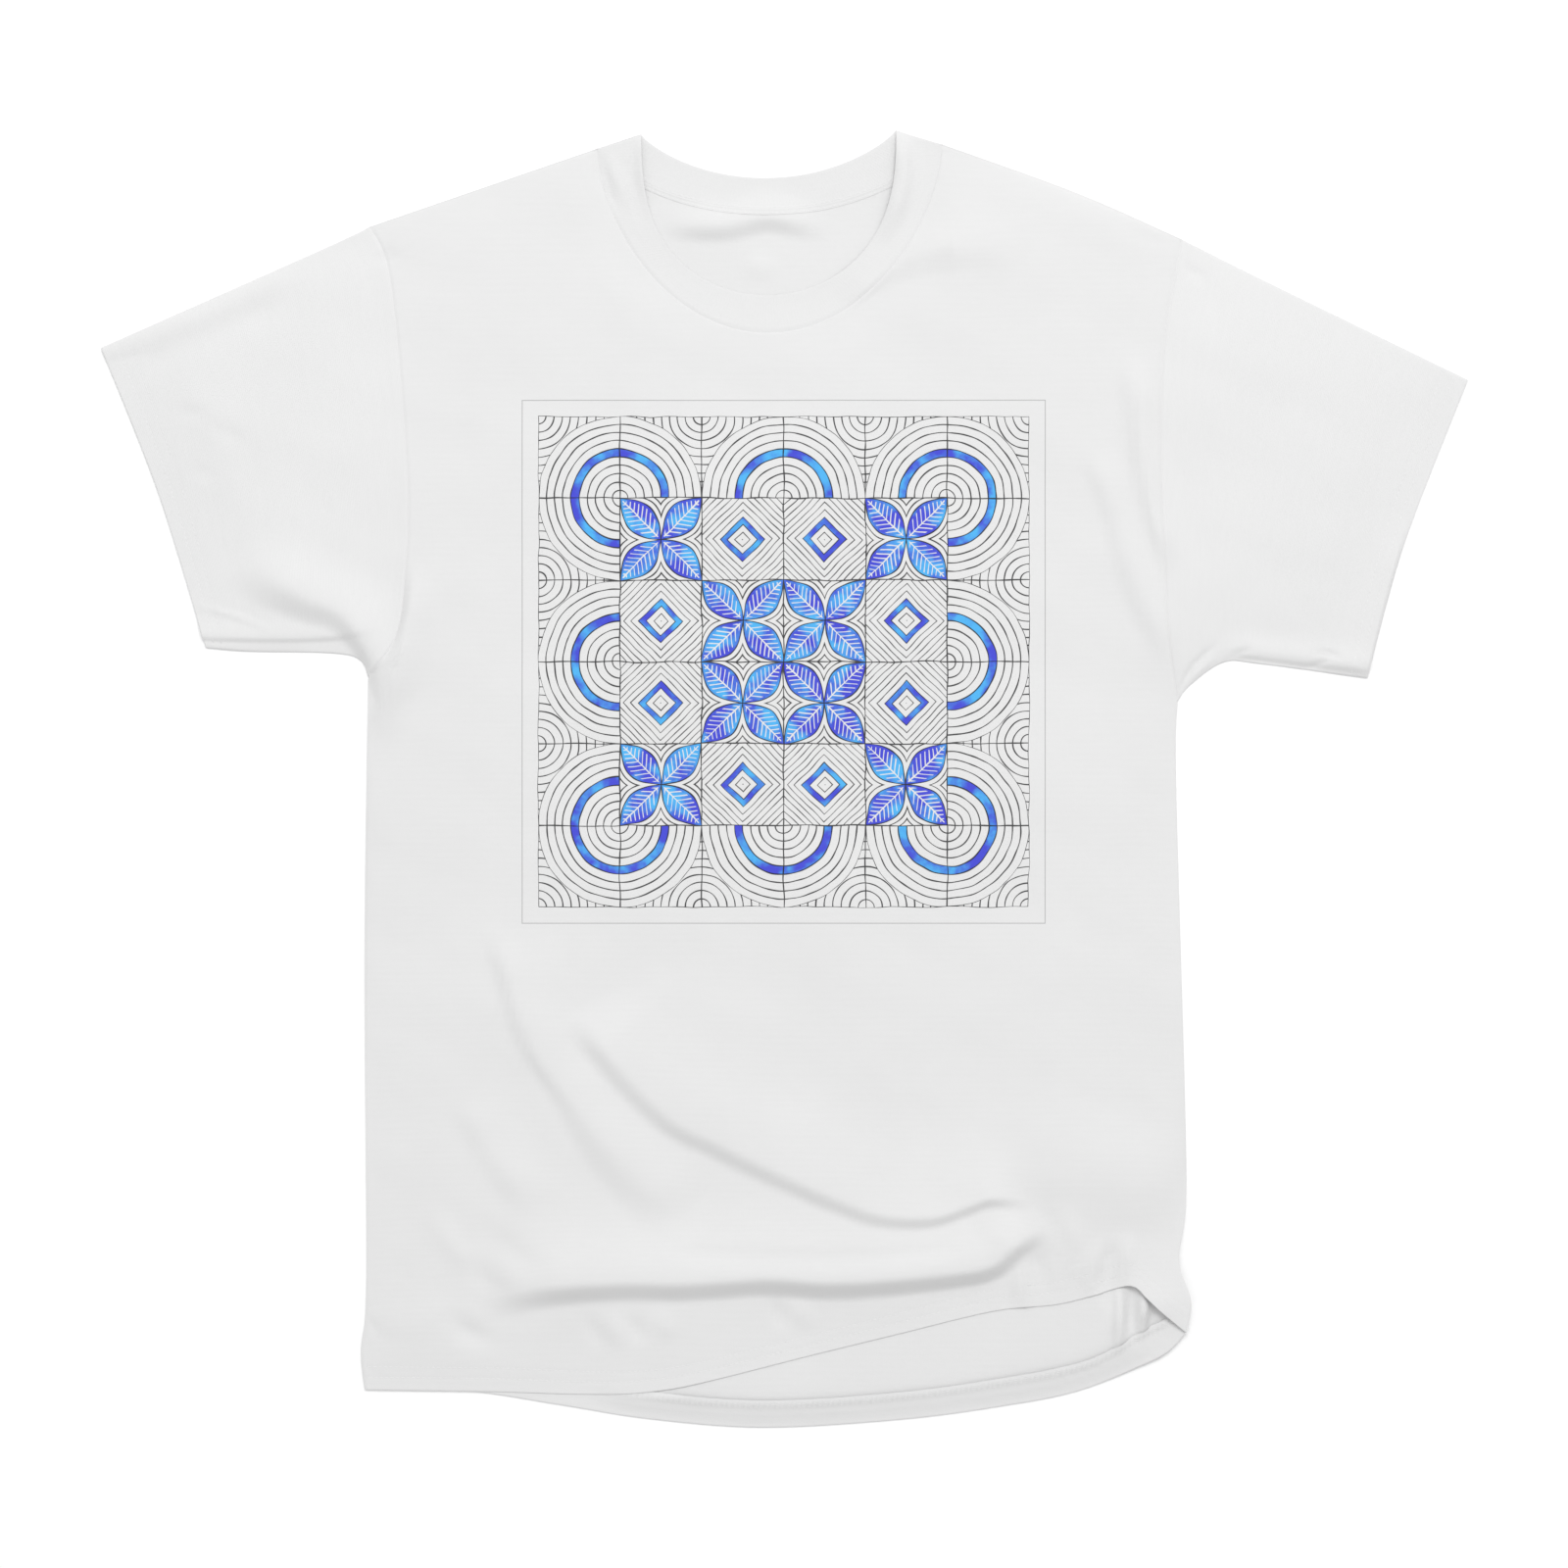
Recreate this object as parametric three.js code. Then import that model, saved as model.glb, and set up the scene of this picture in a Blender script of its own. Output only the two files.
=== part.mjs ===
// A crew-neck T-shirt laid out flat with its front up: front and back panels, two sleeves, a rib collar
// and the tape over the back neck seam. Millimetres, +Z up from the surface that the shirt lies on.
// +Y runs from hem to collar, and +X to the right as seen from above. The origin is on the underside of the
// back panel, in the middle of the body.

import * as THREE from "three";

// Cloth
const CLOTH = 1.2; // thickness of one layer
const TAPE = 0.8; // thickness of the neck tape
const GAP = 0.5; // clear space between layers that lie on each other
const SEAM_GAP = 0.6; // clear space across a seam, in plan
const LOFT = 9; // how far the front stands off the back, away from the edges that join them
const EDGE_ROLL = 16; // distance from such an edge over which the loft grows

// Corners of the shirt in plan, left and right as seen from above
const point = (x, y) => new THREE.Vector2(x, y);
const LEFT = {
  collarTop: point(-73.5, 363),
  neck: point(-98, 355),
  shoulder: point(-226, 311),
  cuffTop: point(-377, 243),
  cuffBottom: point(-318, 74),
  underarm: point(-227, 58),
  hem: point(-229, -343.5),
};
const RIGHT = {
  collarTop: point(71.5, 365),
  neck: point(96, 357.5),
  shoulder: point(231, 304),
  cuffTop: point(392, 225),
  cuffBottom: point(335.5, 57),
  underarm: point(229, 44),
  hem: point(233.5, -311),
};

// Depth of the neckline below the line between its two ends
const FRONT_NECK = { seam: 105, edge: 92, seamBow: 1.2, edgeBow: 0.75 };
const BACK_NECK = { seam: 36, edge: 26, seamBow: 1, edgeBow: 1.5 };
const TAPE_BELOW_SEAM = 3;
const TAPE_ABOVE_SEAM = 2;
const TAPE_END = 0.12; // share of the back neckline left bare at each end

// Folds of the cloth. Each follows a path at its foot, with its crest to the left of it. The back of the
// fold slopes gently and its face drops steeply. A negative rise is a hollow.
const FRONT_FOLDS = [
  {
    rise: 9, back: 42, face: 7,
    path: [[-114, -137], [-81, -173], [-53, -198], [7, -226], [62, -248], [95, -248], [142, -235]],
  },
  {
    rise: 7, back: 22, face: 8,
    path: [[-155, -104], [-147, -135], [-125, -173], [-97, -212], [-67, -245]],
  },
  {
    rise: 13, back: 24, face: 8,
    path: [
      [-158, -303], [-125, -292], [-81, -288], [7, -285], [62, -287], [106, -282], [128, -275], [151, -258],
    ],
  },
  { rise: 3, back: 14, face: 8, path: [[-172, -195], [-155, -220], [-136, -243]] },
  { rise: -3, back: 16, face: 16, path: [[156, 210], [178, 168], [194, 124], [212, 80]] },
  { rise: 6, back: 18, face: 9, path: [[-308, 128], [-268, 101], [-246, 92], [-230, 66]] },
  { rise: 5, back: 14, face: 9, path: [[-224, 40], [-211, 74], [-205, 110]] },
];
const BACK_FOLDS = [{ rise: 3, back: 7, face: 5, path: [[-58, 305], [-26, 307], [0, 311], [28, 305]] }];
const CREST_FROM_FOOT = 0.7; // distance from the foot of a fold to its crest, as a share of its face
const FOLD_TAPER = 0.6; // how bluntly a fold ends: 0 stops dead, 1 dies away as a sine

// At the lower right corner the two layers part, and the cloth turns up round the open hem.
const CORNER = { backLift: 5, frontLift: 6.5, fromX: 170, toX: 236, fromY: -215, toY: -305 };
const HEM_LIFT = { rise: 8, at: point(196, -284), reach: 34 };

// Numbers of facets
const FRONT_FACETS = { shoulder: 5, side: 24 };
const BACK_FACETS = { shoulder: 3, side: 12 };
const NECK_COLUMNS = 20;
const ARMHOLE_ROWS = 14;
const SLEEVE_STEPS = 5;
const COLLAR_STEPS = 3;
const LINE_STEPS = 48; // chords that stand for a curve when distances to it are measured
const HEM_CROWDING = 1.5; // how much closer the rows of a panel lie towards its hem: 1 is evenly spaced
const COLLAR_INSET = 0.012; // share of the neckline that stays clear inside each fold of the collar

const clamp = THREE.MathUtils.clamp;
const smoothstep = THREE.MathUtils.smoothstep;

// Plan curves

const curve = (...points) => new THREE.SplineCurve(points);

// A neckline between two ends. It hangs below the line between them by its depth, and bow shapes its sides.
class Neckline extends THREE.Curve {
  constructor(start, end, depth, bow) {
    super();
    Object.assign(this, { start, end, depth, bow });
  }

  getPoint(t) {
    const turn = Math.PI * t;
    const along = (1 - Math.cos(turn)) / 2;
    const p = this.start.clone().lerp(this.end, along);
    p.y -= this.depth * Math.sin(turn) ** this.bow;
    return p;
  }

  getPointAt(t) {
    return this.getPoint(t);
  }
}

const leftSide = curve(LEFT.hem, point(-231, -321), point(-228, -280), point(-229, -100), LEFT.underarm);
const rightSide = curve(
  RIGHT.hem, point(236, -293), point(229.4, -271), point(233.5, -240), point(233, -180), point(228, 0),
  RIGHT.underarm,
);
const leftArmhole = curve(
  LEFT.underarm, point(-211, 80), point(-205.5, 120), point(-204.5, 167), point(-208.5, 227),
  point(-215.5, 287), LEFT.shoulder,
);
const rightArmhole = curve(
  RIGHT.underarm, point(224, 78), point(221.5, 121), point(219.3, 191), point(220.5, 239),
  point(226, 276), RIGHT.shoulder,
);
const frontHem = curve(
  LEFT.hem, point(-160, -344.5), point(-100, -346), point(-62, -343.5), point(-31, -337.3),
  point(20, -324.4), point(70, -312.2), point(125, -299), point(160, -295.3), point(182, -290),
  point(202, -284.6), point(211, -291.5), point(220, -299.8), RIGHT.hem,
);
const backHem = curve(
  LEFT.hem, point(-170, -344.5), point(-119, -352), point(-68, -360), point(-4, -364.7), point(73, -360.2),
  point(130, -352.7), point(172, -344.4), point(208, -329.8), point(223, -322), RIGHT.hem,
);
const leftTop = curve(LEFT.shoulder, point(-251, 299), LEFT.cuffTop);
const rightTop = curve(RIGHT.shoulder, point(277, 281), RIGHT.cuffTop);
const leftUnder = curve(LEFT.underarm, point(-238, 70), point(-293, 72), LEFT.cuffBottom);
const rightUnder = curve(RIGHT.underarm, point(236, 53), point(255, 66), point(276, 65), RIGHT.cuffBottom);
const leftCuff = curve(LEFT.cuffTop, point(-345, 162), LEFT.cuffBottom);
const rightCuff = curve(RIGHT.cuffTop, point(357, 135), RIGHT.cuffBottom);
const leftShoulder = curve(LEFT.shoulder, LEFT.neck);
const rightShoulder = curve(RIGHT.neck, point(172, 330), RIGHT.shoulder);
const frontNeckSeam = new Neckline(LEFT.neck, RIGHT.neck, FRONT_NECK.seam, FRONT_NECK.seamBow);
const backNeckSeam = new Neckline(LEFT.neck, RIGHT.neck, BACK_NECK.seam, BACK_NECK.seamBow);
const frontNeckEdge = new Neckline(LEFT.collarTop, RIGHT.collarTop, FRONT_NECK.edge, FRONT_NECK.edgeBow);
const backNeckEdge = new Neckline(LEFT.collarTop, RIGHT.collarTop, BACK_NECK.edge, BACK_NECK.edgeBow);

// Distances to plan lines

// The nearest point of a line of chords: how far off it is, on the line's left (1) or right (-1), and the
// share of the way along.
function nearest(line, p) {
  let best = { distance: Infinity };
  for (let i = 0; i + 1 < line.length; i++) {
    const a = line[i];
    const chord = line[i + 1].clone().sub(a);
    const reach = p.clone().sub(a);
    const share = clamp(reach.dot(chord) / chord.lengthSq(), 0, 1);
    const distance = reach.clone().addScaledVector(chord, -share).length();
    if (distance < best.distance)
      best = { distance, side: Math.sign(chord.cross(reach)), along: (i + share) / (line.length - 1) };
  }
  return best;
}

const asLine = (shape) => shape.getSpacedPoints(LINE_STEPS);
const asFold = (fold) => ({ ...fold, line: asLine(curve(...fold.path.map(([x, y]) => point(x, y)))) });
const frontFolds = FRONT_FOLDS.map(asFold);
const backFolds = BACK_FOLDS.map(asFold);

// The edges where front and back are joined: the sides, the sleeves' undersides and the shoulder lines.
const joinedEdges = [
  asLine(leftSide),
  asLine(rightSide),
  asLine(leftUnder),
  asLine(rightUnder),
  [...asLine(leftTop).reverse(), LEFT.neck, LEFT.collarTop],
  [RIGHT.collarTop, RIGHT.neck, ...asLine(rightTop)],
];

// Heights of the undersides of the two layers

function foldHeight(fold, p) {
  const { distance, side, along } = nearest(fold.line, p);
  const fromCrest = distance * side - fold.face * CREST_FROM_FOOT;
  const width = fromCrest > 0 ? fold.back : fold.face;
  return fold.rise * Math.sin(Math.PI * along) ** FOLD_TAPER * Math.exp(-((fromCrest / width) ** 2));
}

// Share of the lift at the lower right corner.
function atCorner(p) {
  return smoothstep(p.x, CORNER.fromX, CORNER.toX) * smoothstep(-p.y, -CORNER.fromY, -CORNER.toY);
}

function backHeight(p) {
  return CORNER.backLift * atCorner(p) + backFolds.reduce((sum, fold) => sum + foldHeight(fold, p), 0);
}

function frontHeight(p) {
  const fromEdge = Math.min(...joinedEdges.map((line) => nearest(line, p).distance));
  const free = 1 - Math.exp(-fromEdge / EDGE_ROLL);
  const folds = frontFolds.reduce((sum, fold) => sum + foldHeight(fold, p), 0);
  const hem = HEM_LIFT.rise * Math.exp(-((p.distanceTo(HEM_LIFT.at) / HEM_LIFT.reach) ** 2));
  return CLOTH + GAP + CORNER.frontLift * atCorner(p) + free * (LOFT + folds + hem);
}

// Plan patches

// Spacings of the facets along a curve: even, closer at its start, or closer at both ends.
const even = (t) => t;
const towardsHem = (t) => t ** HEM_CROWDING;
const towardsEnds = (t) => (t + (1 - Math.cos(Math.PI * t)) / 2) / 2;
const spaced = (line, spacing = even) => (t) => line.getPointAt(spacing(clamp(t, 0, 1)));

// An edge made of several curves, each over its own share of the way along.
function edge(...stretches) {
  return (t) => {
    let start = 0;
    let [line, share] = stretches[0];
    for (const next of stretches.slice(1)) {
      if (t <= start + share) break;
      start += share;
      [line, share] = next;
    }
    return line((t - start) / share);
  };
}

// The four-sided Coons patch between its edges: u runs along bottom and top, v along left and right.
function patch(bottom, top, left, right) {
  return (u, v) =>
    point(0, 0)
      .addScaledVector(bottom(u), 1 - v)
      .addScaledVector(top(u), v)
      .addScaledVector(left(v), 1 - u)
      .addScaledVector(right(v), u)
      .addScaledVector(bottom(0), -(1 - u) * (1 - v))
      .addScaledVector(bottom(1), -u * (1 - v))
      .addScaledVector(top(0), -(1 - u) * v)
      .addScaledVector(top(1), -u * v);
}

// Cloth solids

// A panel: a thin box whose vertices are moved onto the plan, at the height of its underside.
function panel(plan, height, thickness, columns, rows) {
  const shape = new THREE.BoxGeometry(1, 1, 1, columns, rows, 1);
  const at = shape.getAttribute("position");
  for (let i = 0; i < at.count; i++) {
    const p = plan(at.getX(i) + 0.5, at.getY(i) + 0.5);
    at.setXYZ(i, p.x, p.y, height(p) + (at.getZ(i) + 0.5) * thickness);
  }
  return shape;
}

// A flattened tube, open at both ends: an upper and a lower layer that meet at two folded edges. Each layer's
// plan takes the share along the tube and the share across it. It starts as a turned ring, and side is 1 or -1
// for the half of the ring that becomes the upper layer.
function flatTube({ upper, lower, side, around, steps, across, inset }) {
  const [INSIDE, OUTSIDE] = [1, 2];
  const wall = [];
  for (let i = 0; i <= steps; i++) wall.push(point(OUTSIDE, i / steps));
  for (let i = steps; i >= 0; i--) wall.push(point(INSIDE, i / steps));
  wall.push(wall[0].clone());
  const shape = new THREE.LatheGeometry(wall, around);
  const at = shape.getAttribute("position");
  for (let i = 0; i < at.count; i++) {
    const along = at.getY(i);
    const outside = Math.hypot(at.getX(i), at.getZ(i)) > (INSIDE + OUTSIDE) / 2;
    const turn = Math.atan2(at.getX(i), at.getZ(i)) / Math.PI;
    const share = across(clamp(Math.abs(turn), 0, 1));
    const inward = outside ? share : inset + (1 - 2 * inset) * share;
    const over = upper(along, inward);
    const under = lower(along, inward);
    const top = new THREE.Vector3(over.x, over.y, frontHeight(over) + (outside ? CLOTH : 0));
    const bottom = new THREE.Vector3(under.x, under.y, backHeight(under) + (outside ? 0 : CLOTH));
    const atFold = share < 1e-6 || share > 1 - 1e-6;
    const layer = turn * side > 0 ? top : bottom;
    const p = atFold ? top.lerp(bottom, 0.5) : layer;
    at.setXYZ(i, p.x, p.y, p.z);
  }
  return shape;
}

function bodyPanel(hem, neckSeam, height, facets) {
  const columns = 2 * facets.shoulder + NECK_COLUMNS;
  const rows = facets.side + ARMHOLE_ROWS;
  const shoulder = facets.shoulder / columns;
  const side = facets.side / rows;
  const plan = patch(
    edge([spaced(hem), 1]),
    edge(
      [spaced(leftShoulder), shoulder],
      [spaced(neckSeam), 1 - 2 * shoulder],
      [spaced(rightShoulder), shoulder],
    ),
    edge([spaced(leftSide, towardsHem), side], [spaced(leftArmhole, towardsEnds), 1 - side]),
    edge([spaced(rightSide, towardsHem), side], [spaced(rightArmhole, towardsEnds), 1 - side]),
  );
  return panel(plan, height, CLOTH, columns, rows);
}

function sleeve(armhole, cuff, top, under, outward) {
  const gap = point(outward * SEAM_GAP, 0);
  const seam = (share) => armhole.getPointAt(1 - share).add(gap);
  const eased = (line) => (t) => line.getPointAt(t).addScaledVector(gap, 1 - t);
  const flat = patch(seam, spaced(cuff), eased(top), eased(under));
  const plan = (along, share) => flat(share, along);
  return flatTube({
    upper: plan,
    lower: plan,
    side: outward,
    around: 2 * ARMHOLE_ROWS,
    steps: SLEEVE_STEPS,
    across: towardsEnds,
    inset: CLOTH / cuff.getLength(),
  });
}

function collar() {
  const band = (seamLine, edgeLine) => {
    const seam = new Neckline(seamLine.start, seamLine.end, seamLine.depth - SEAM_GAP, seamLine.bow);
    return (along, share) => {
      const p = seam.getPoint(share).lerp(edgeLine.getPoint(share), along);
      p.x -= SEAM_GAP * (1 - along) * Math.sign(p.x) * Math.abs(Math.cos(Math.PI * share));
      return p;
    };
  };
  return flatTube({
    upper: band(frontNeckSeam, frontNeckEdge),
    lower: band(backNeckSeam, backNeckEdge),
    side: 1,
    around: 2 * NECK_COLUMNS,
    steps: COLLAR_STEPS,
    across: even,
    inset: COLLAR_INSET,
  });
}

function neckTape() {
  const span = (t) => TAPE_END + (1 - 2 * TAPE_END) * t;
  const plan = (u, v) => {
    const p = backNeckSeam.getPoint(span(u));
    p.y += THREE.MathUtils.lerp(-TAPE_BELOW_SEAM, TAPE_ABOVE_SEAM, v);
    return p;
  };
  return panel(plan, (p) => backHeight(p) + CLOTH + GAP, TAPE, NECK_COLUMNS, 1);
}

// Materials

const cotton = (name, color) => new THREE.MeshStandardMaterial({ name, color, roughness: 0.92, metalness: 0 });
const jersey = cotton("jersey", 0xebebea);
const rib = cotton("rib", 0xeeeeed);
const tape = cotton("tape", 0xe9e9e8);

// The shirt

const shirt = new THREE.Group();
function add(name, geometry, material) {
  const mesh = new THREE.Mesh(geometry, material);
  mesh.name = name;
  shirt.add(mesh);
}

add("back_panel", bodyPanel(backHem, backNeckSeam, backHeight, BACK_FACETS), jersey);
add("front_panel", bodyPanel(frontHem, frontNeckSeam, frontHeight, FRONT_FACETS), jersey);
add("left_sleeve", sleeve(leftArmhole, leftCuff, leftTop, leftUnder, -1), jersey);
add("right_sleeve", sleeve(rightArmhole, rightCuff, rightTop, rightUnder, 1), jersey);
add("collar", collar(), rib);
add("neck_tape", neckTape(), tape);

export default shirt;
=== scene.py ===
"""A crew-neck T-shirt laid flat with its front up: its cloth, collar, stitching, print and stage."""

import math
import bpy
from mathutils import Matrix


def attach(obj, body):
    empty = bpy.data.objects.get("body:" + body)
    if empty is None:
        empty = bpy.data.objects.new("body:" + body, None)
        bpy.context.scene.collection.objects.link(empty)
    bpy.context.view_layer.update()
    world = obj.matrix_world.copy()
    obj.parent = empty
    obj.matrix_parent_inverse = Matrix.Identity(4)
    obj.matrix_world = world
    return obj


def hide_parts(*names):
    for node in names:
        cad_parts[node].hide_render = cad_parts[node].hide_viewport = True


bl_info = {
    "name": "Laid-flat T-shirt",
    "version": (1, 0, 0),
    "blender": (4, 5, 0),
    "location": "View3D > Sidebar > T-shirt",
    "description": "Builds a crew-neck T-shirt of cotton jersey, laid flat with its front up",
    "category": "Add Mesh",
}

import bmesh
import bpy
import numpy as np
from bpy.props import FloatProperty, FloatVectorProperty, PointerProperty
from mathutils import Matrix, Vector

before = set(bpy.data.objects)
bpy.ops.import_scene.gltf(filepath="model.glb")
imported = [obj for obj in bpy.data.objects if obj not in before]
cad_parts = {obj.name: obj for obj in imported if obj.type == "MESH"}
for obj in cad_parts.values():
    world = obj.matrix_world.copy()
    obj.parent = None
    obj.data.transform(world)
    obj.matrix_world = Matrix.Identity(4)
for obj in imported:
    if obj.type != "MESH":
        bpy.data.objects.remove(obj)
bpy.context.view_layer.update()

# Plans and heights are worked out in millimetres, and meshes are made in metres.
MM = 0.001

# Corners of the shirt in plan, left and right as seen from above
LEFT_COLLAR_TOP = (-73.5, 363)
LEFT_NECK = (-98, 355)
LEFT_SHOULDER = (-226, 311)
LEFT_CUFF_TOP = (-377, 243)
LEFT_CUFF_BOTTOM = (-318, 74)
LEFT_UNDERARM = (-227, 58)
LEFT_HEM = (-229, -343.5)
RIGHT_COLLAR_TOP = (70.5, 365.5)
RIGHT_NECK = (96, 357.5)
RIGHT_SHOULDER = (231, 304)
RIGHT_CUFF_TOP = (392, 225)
RIGHT_CUFF_BOTTOM = (335.5, 57)
RIGHT_UNDERARM = (229, 44)
RIGHT_HEM = (233.5, -311)

# Folds of the upper layer, as (rise, widths, back, tapers, path). A fold rises over its width to a crest on
# the left of its path, and its back falls away gently. The widths are those at the path's two ends, and the
# tapers are the lengths over which the fold dies away there.
EVEN_TAPERS = (30, 30)
FRONT_FOLDS = (
    (
        6.2, (14, 6.5), 34, EVEN_TAPERS,
        (
            (-115, -131), (-102, -150), (-88, -167), (-60, -194.5), (-31, -209.5), (-12, -219), (17, -232),
            (40, -241.5), (62, -248.5), (90, -249), (112, -242), (124, -238), (150, -241),
        ),
    ),
    (
        3.3, (3, 12), 18, (30, 50),
        ((-160, -83), (-152, -112), (-144, -139), (-132, -162), (-119, -180), (-104, -204)),
    ),
    (
        4.4, (11, 26), 20, (50, 30),
        ((-132, -162), (-119, -180), (-104, -204), (-82, -231), (-62, -250), (-52, -258)),
    ),
    (
        11.5, (15, 10.5), 26, (54, 26),
        (
            (-166, -300), (-148, -296.5), (-124, -291), (-85, -288), (-50, -288), (-20, -286), (0, -285),
            (30, -287), (60, -286), (100, -282), (125, -277), (141, -264), (158, -253),
        ),
    ),
    (2.6, (12, 14), 14, EVEN_TAPERS, ((-184, -177), (-172, -195), (-157, -220), (-143, -239), (-134, -251))),
    (
        7.4, (24, 4.2), 18, (46, 30),
        (
            (-308, 124), (-294, 111), (-278, 101.5), (-262, 94), (-248, 89.5), (-240, 84), (-235, 76.5),
            (-229, 64), (-223, 50), (-219, 36),
        ),
    ),
    (4.6, (5, 8), 12, EVEN_TAPERS, ((-203, 124), (-205, 98), (-210, 76), (-215, 60), (-221, 45), (-231, 22))),
    (2.0, (2.4, 2.4), 8, EVEN_TAPERS, ((-345, 79.5), (-300, 78), (-262, 78), (-236, 80), (-218, 84))),
    (3.6, (3.4, 3.4), 9, EVEN_TAPERS, ((244, 60), (262, 68), (282, 66.5), (302, 64), (322, 61.5), (350, 58))),
    (2.6, (2.2, 2.2), 12, (12, 40), ((333.5, 50), (340.2, 78), (347.4, 105), (355.9, 135), (362, 150))),
    (4.2, (7, 9), 9, EVEN_TAPERS, ((196, 242), (199.5, 222), (204, 180), (210, 150), (215, 132), (220, 112))),
    (
        3.2, (9, 12), 11, EVEN_TAPERS,
        ((172, 188), (184.5, 160), (193, 132.5), (201, 106.5), (213, 80), (222, 60)),
    ),
    (
        2.0, (6, 17), 14, (20, 60),
        (
            (42, 262), (53, 272), (66, 281), (77, 286.5), (88, 289.5), (100, 291), (114, 291.5), (132, 290),
            (152, 286),
        ),
    ),
    (3.6, (30, 36), 30, EVEN_TAPERS, ((132, -240), (165, -237), (200, -241), (240, -250))),
)

# Soft ridges of the upper layer, as (rise, width, path). A negative rise is a hollow.
FRONT_RIPPLES = (
    (-1.6, 5.5, ((-64, -265), (0, -268), (60, -268), (114, -261))),
    (-2.2, 6, ((-184, -296), (-172, -310), (-152, -318))),
    (-1.6, 3.5, ((-2, -287), (3, -298), (9, -313))),
    (-1.5, 4, ((-106, -297), (-101, -308), (-95, -324))),
    (1.5, 5, ((-93, -296), (-88, -308), (-83, -323))),
    (-1.5, 4, ((-80, -297), (-76, -308), (-71, -320))),
    (1.3, 5, ((-66, -296), (-60, -306), (-54, -318))),
    (1.6, 4.5, ((11, -290), (17, -300), (23, -312))),
    (-0.9, 2.5, ((-233, -298), (-224, -308), (-216, -320))),
    (2.4, 4.5, ((142, -266), (141, -284), (143, -304))),
    (-3.0, 5, ((151, -258), (149, -278), (152, -300))),
    (2.4, 6, ((162, -234), (170, -258), (177, -288))),
    (-2.6, 3.5, ((193, -258), (191, -272), (188, -294))),
    (3.2, 4, ((184, -254), (181, -272), (180, -294))),
    (2.4, 4, ((201, -252), (199, -270), (197, -288))),
    (1.5, 6, ((-192, -234), (-182, -258), (-158, -288))),
    (-1.8, 8, ((-170, -247), (-142, -268), (-118, -279))),
    (-1.4, 6, ((-176, -266), (-162, -280), (-146, -292))),
    (1.5, 11, ((-398, 246), (-374, 242), (-345, 252), (-310, 267), (-264, 288))),
    (-1.6, 9, ((-392, 226), (-370, 230), (-345, 240), (-310, 254), (-264, 274))),
    (0.9, 1.6, ((-332, 100), (-300, 91), (-276, 81))),
    (-1.2, 2.5, ((-226, 291), (-215, 294), (-203, 292.5))),
    (-0.7, 3.4, ((-338, 209), (-327, 206), (-313, 205))),
    (-0.7, 3.4, ((-322, 202), (-306, 194.5), (-288, 186))),
    (-0.6, 3.4, ((-331, 175), (-320, 172), (-308, 169))),
    (-0.9, 3, ((229, 290), (238, 285), (247, 279))),
    (-0.8, 3.5, ((203, 308), (213, 304), (223, 298))),
    (1.8, 2.2, ((232, 47), (238, 57), (246, 65), (254, 72))),
    (-2.0, 1.6, ((228, 46), (231, 52), (236, 61), (242, 68), (248, 74), (254, 79))),
    (-1.7, 1.5, ((254, 64.5), (261, 69.5), (268, 73), (274, 72))),
    (-2.2, 1.5, ((296, 61), (306, 64), (318, 68.5))),
    (-1.6, 1.5, ((303, 71), (313, 70.5), (324, 68))),
    (4.2, 5.5, ((72, 378), (74, 346), (72, 328), (62, 298))),
    (1.5, 3, ((-92, 358), (-88, 343), (-84, 331), (-79, 317))),
    (-1.7, 2.2, ((-85, 353), (-81.5, 342.5), (-78, 332), (-75, 321), (-71, 309))),
    (-2.4, 2.2, ((-99.5, 360), (-96.5, 346), (-92, 332), (-86, 316))),
    (2.6, 3.5, ((-73, 382), (-73, 357), (-72.8, 346), (-71, 330), (-67, 314))),
)
BACK_FOLDS = (
    (
        4.4, (9, 10), 10, EVEN_TAPERS,
        (
            (-66, 306), (-54, 306.5), (-28, 306.5), (-18.5, 308), (-11, 310), (-1, 311.5), (8, 310),
            (20, 307), (34, 303),
        ),
    ),
)
BACK_RIPPLES = (
    (4.6, 2.8, ((196, -280), (196, -300), (194, -326))),
    (-2.2, 2.6, ((203, -276), (203, -298), (201, -322))),
    (5.6, 2.6, ((210, -284), (209.5, -300), (207.5, -318))),
    (-1.6, 3.0, ((218, -292), (211, -306), (203, -320))),
    (1.2, 6, ((-20, 290), (-6, 288), (8, 287))),
)
# The open part of the back's hem rolls up a little, and the front that lies on it follows.
HEM_ROLLS = (
    (
        3.0, (14, 14), 70, EVEN_TAPERS,
        (
            (-110, -346), (-60, -354), (-4, -358.5), (73, -354), (130, -346.5), (172, -338), (204, -324),
            (222, -308),
        ),
    ),
)

# At the lower right corner the two layers part, and the cloth turns up round the open hem.
BACK_CORNER_LIFT = 2.4
FRONT_CORNER_LIFT = 4
CORNER_X = (170, 236)
CORNER_Y = (-215, -305)
HEM_LIFT = 6.5
HEM_LIFT_AT = (215, -296)
HEM_LIFT_REACH = 16


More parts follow.
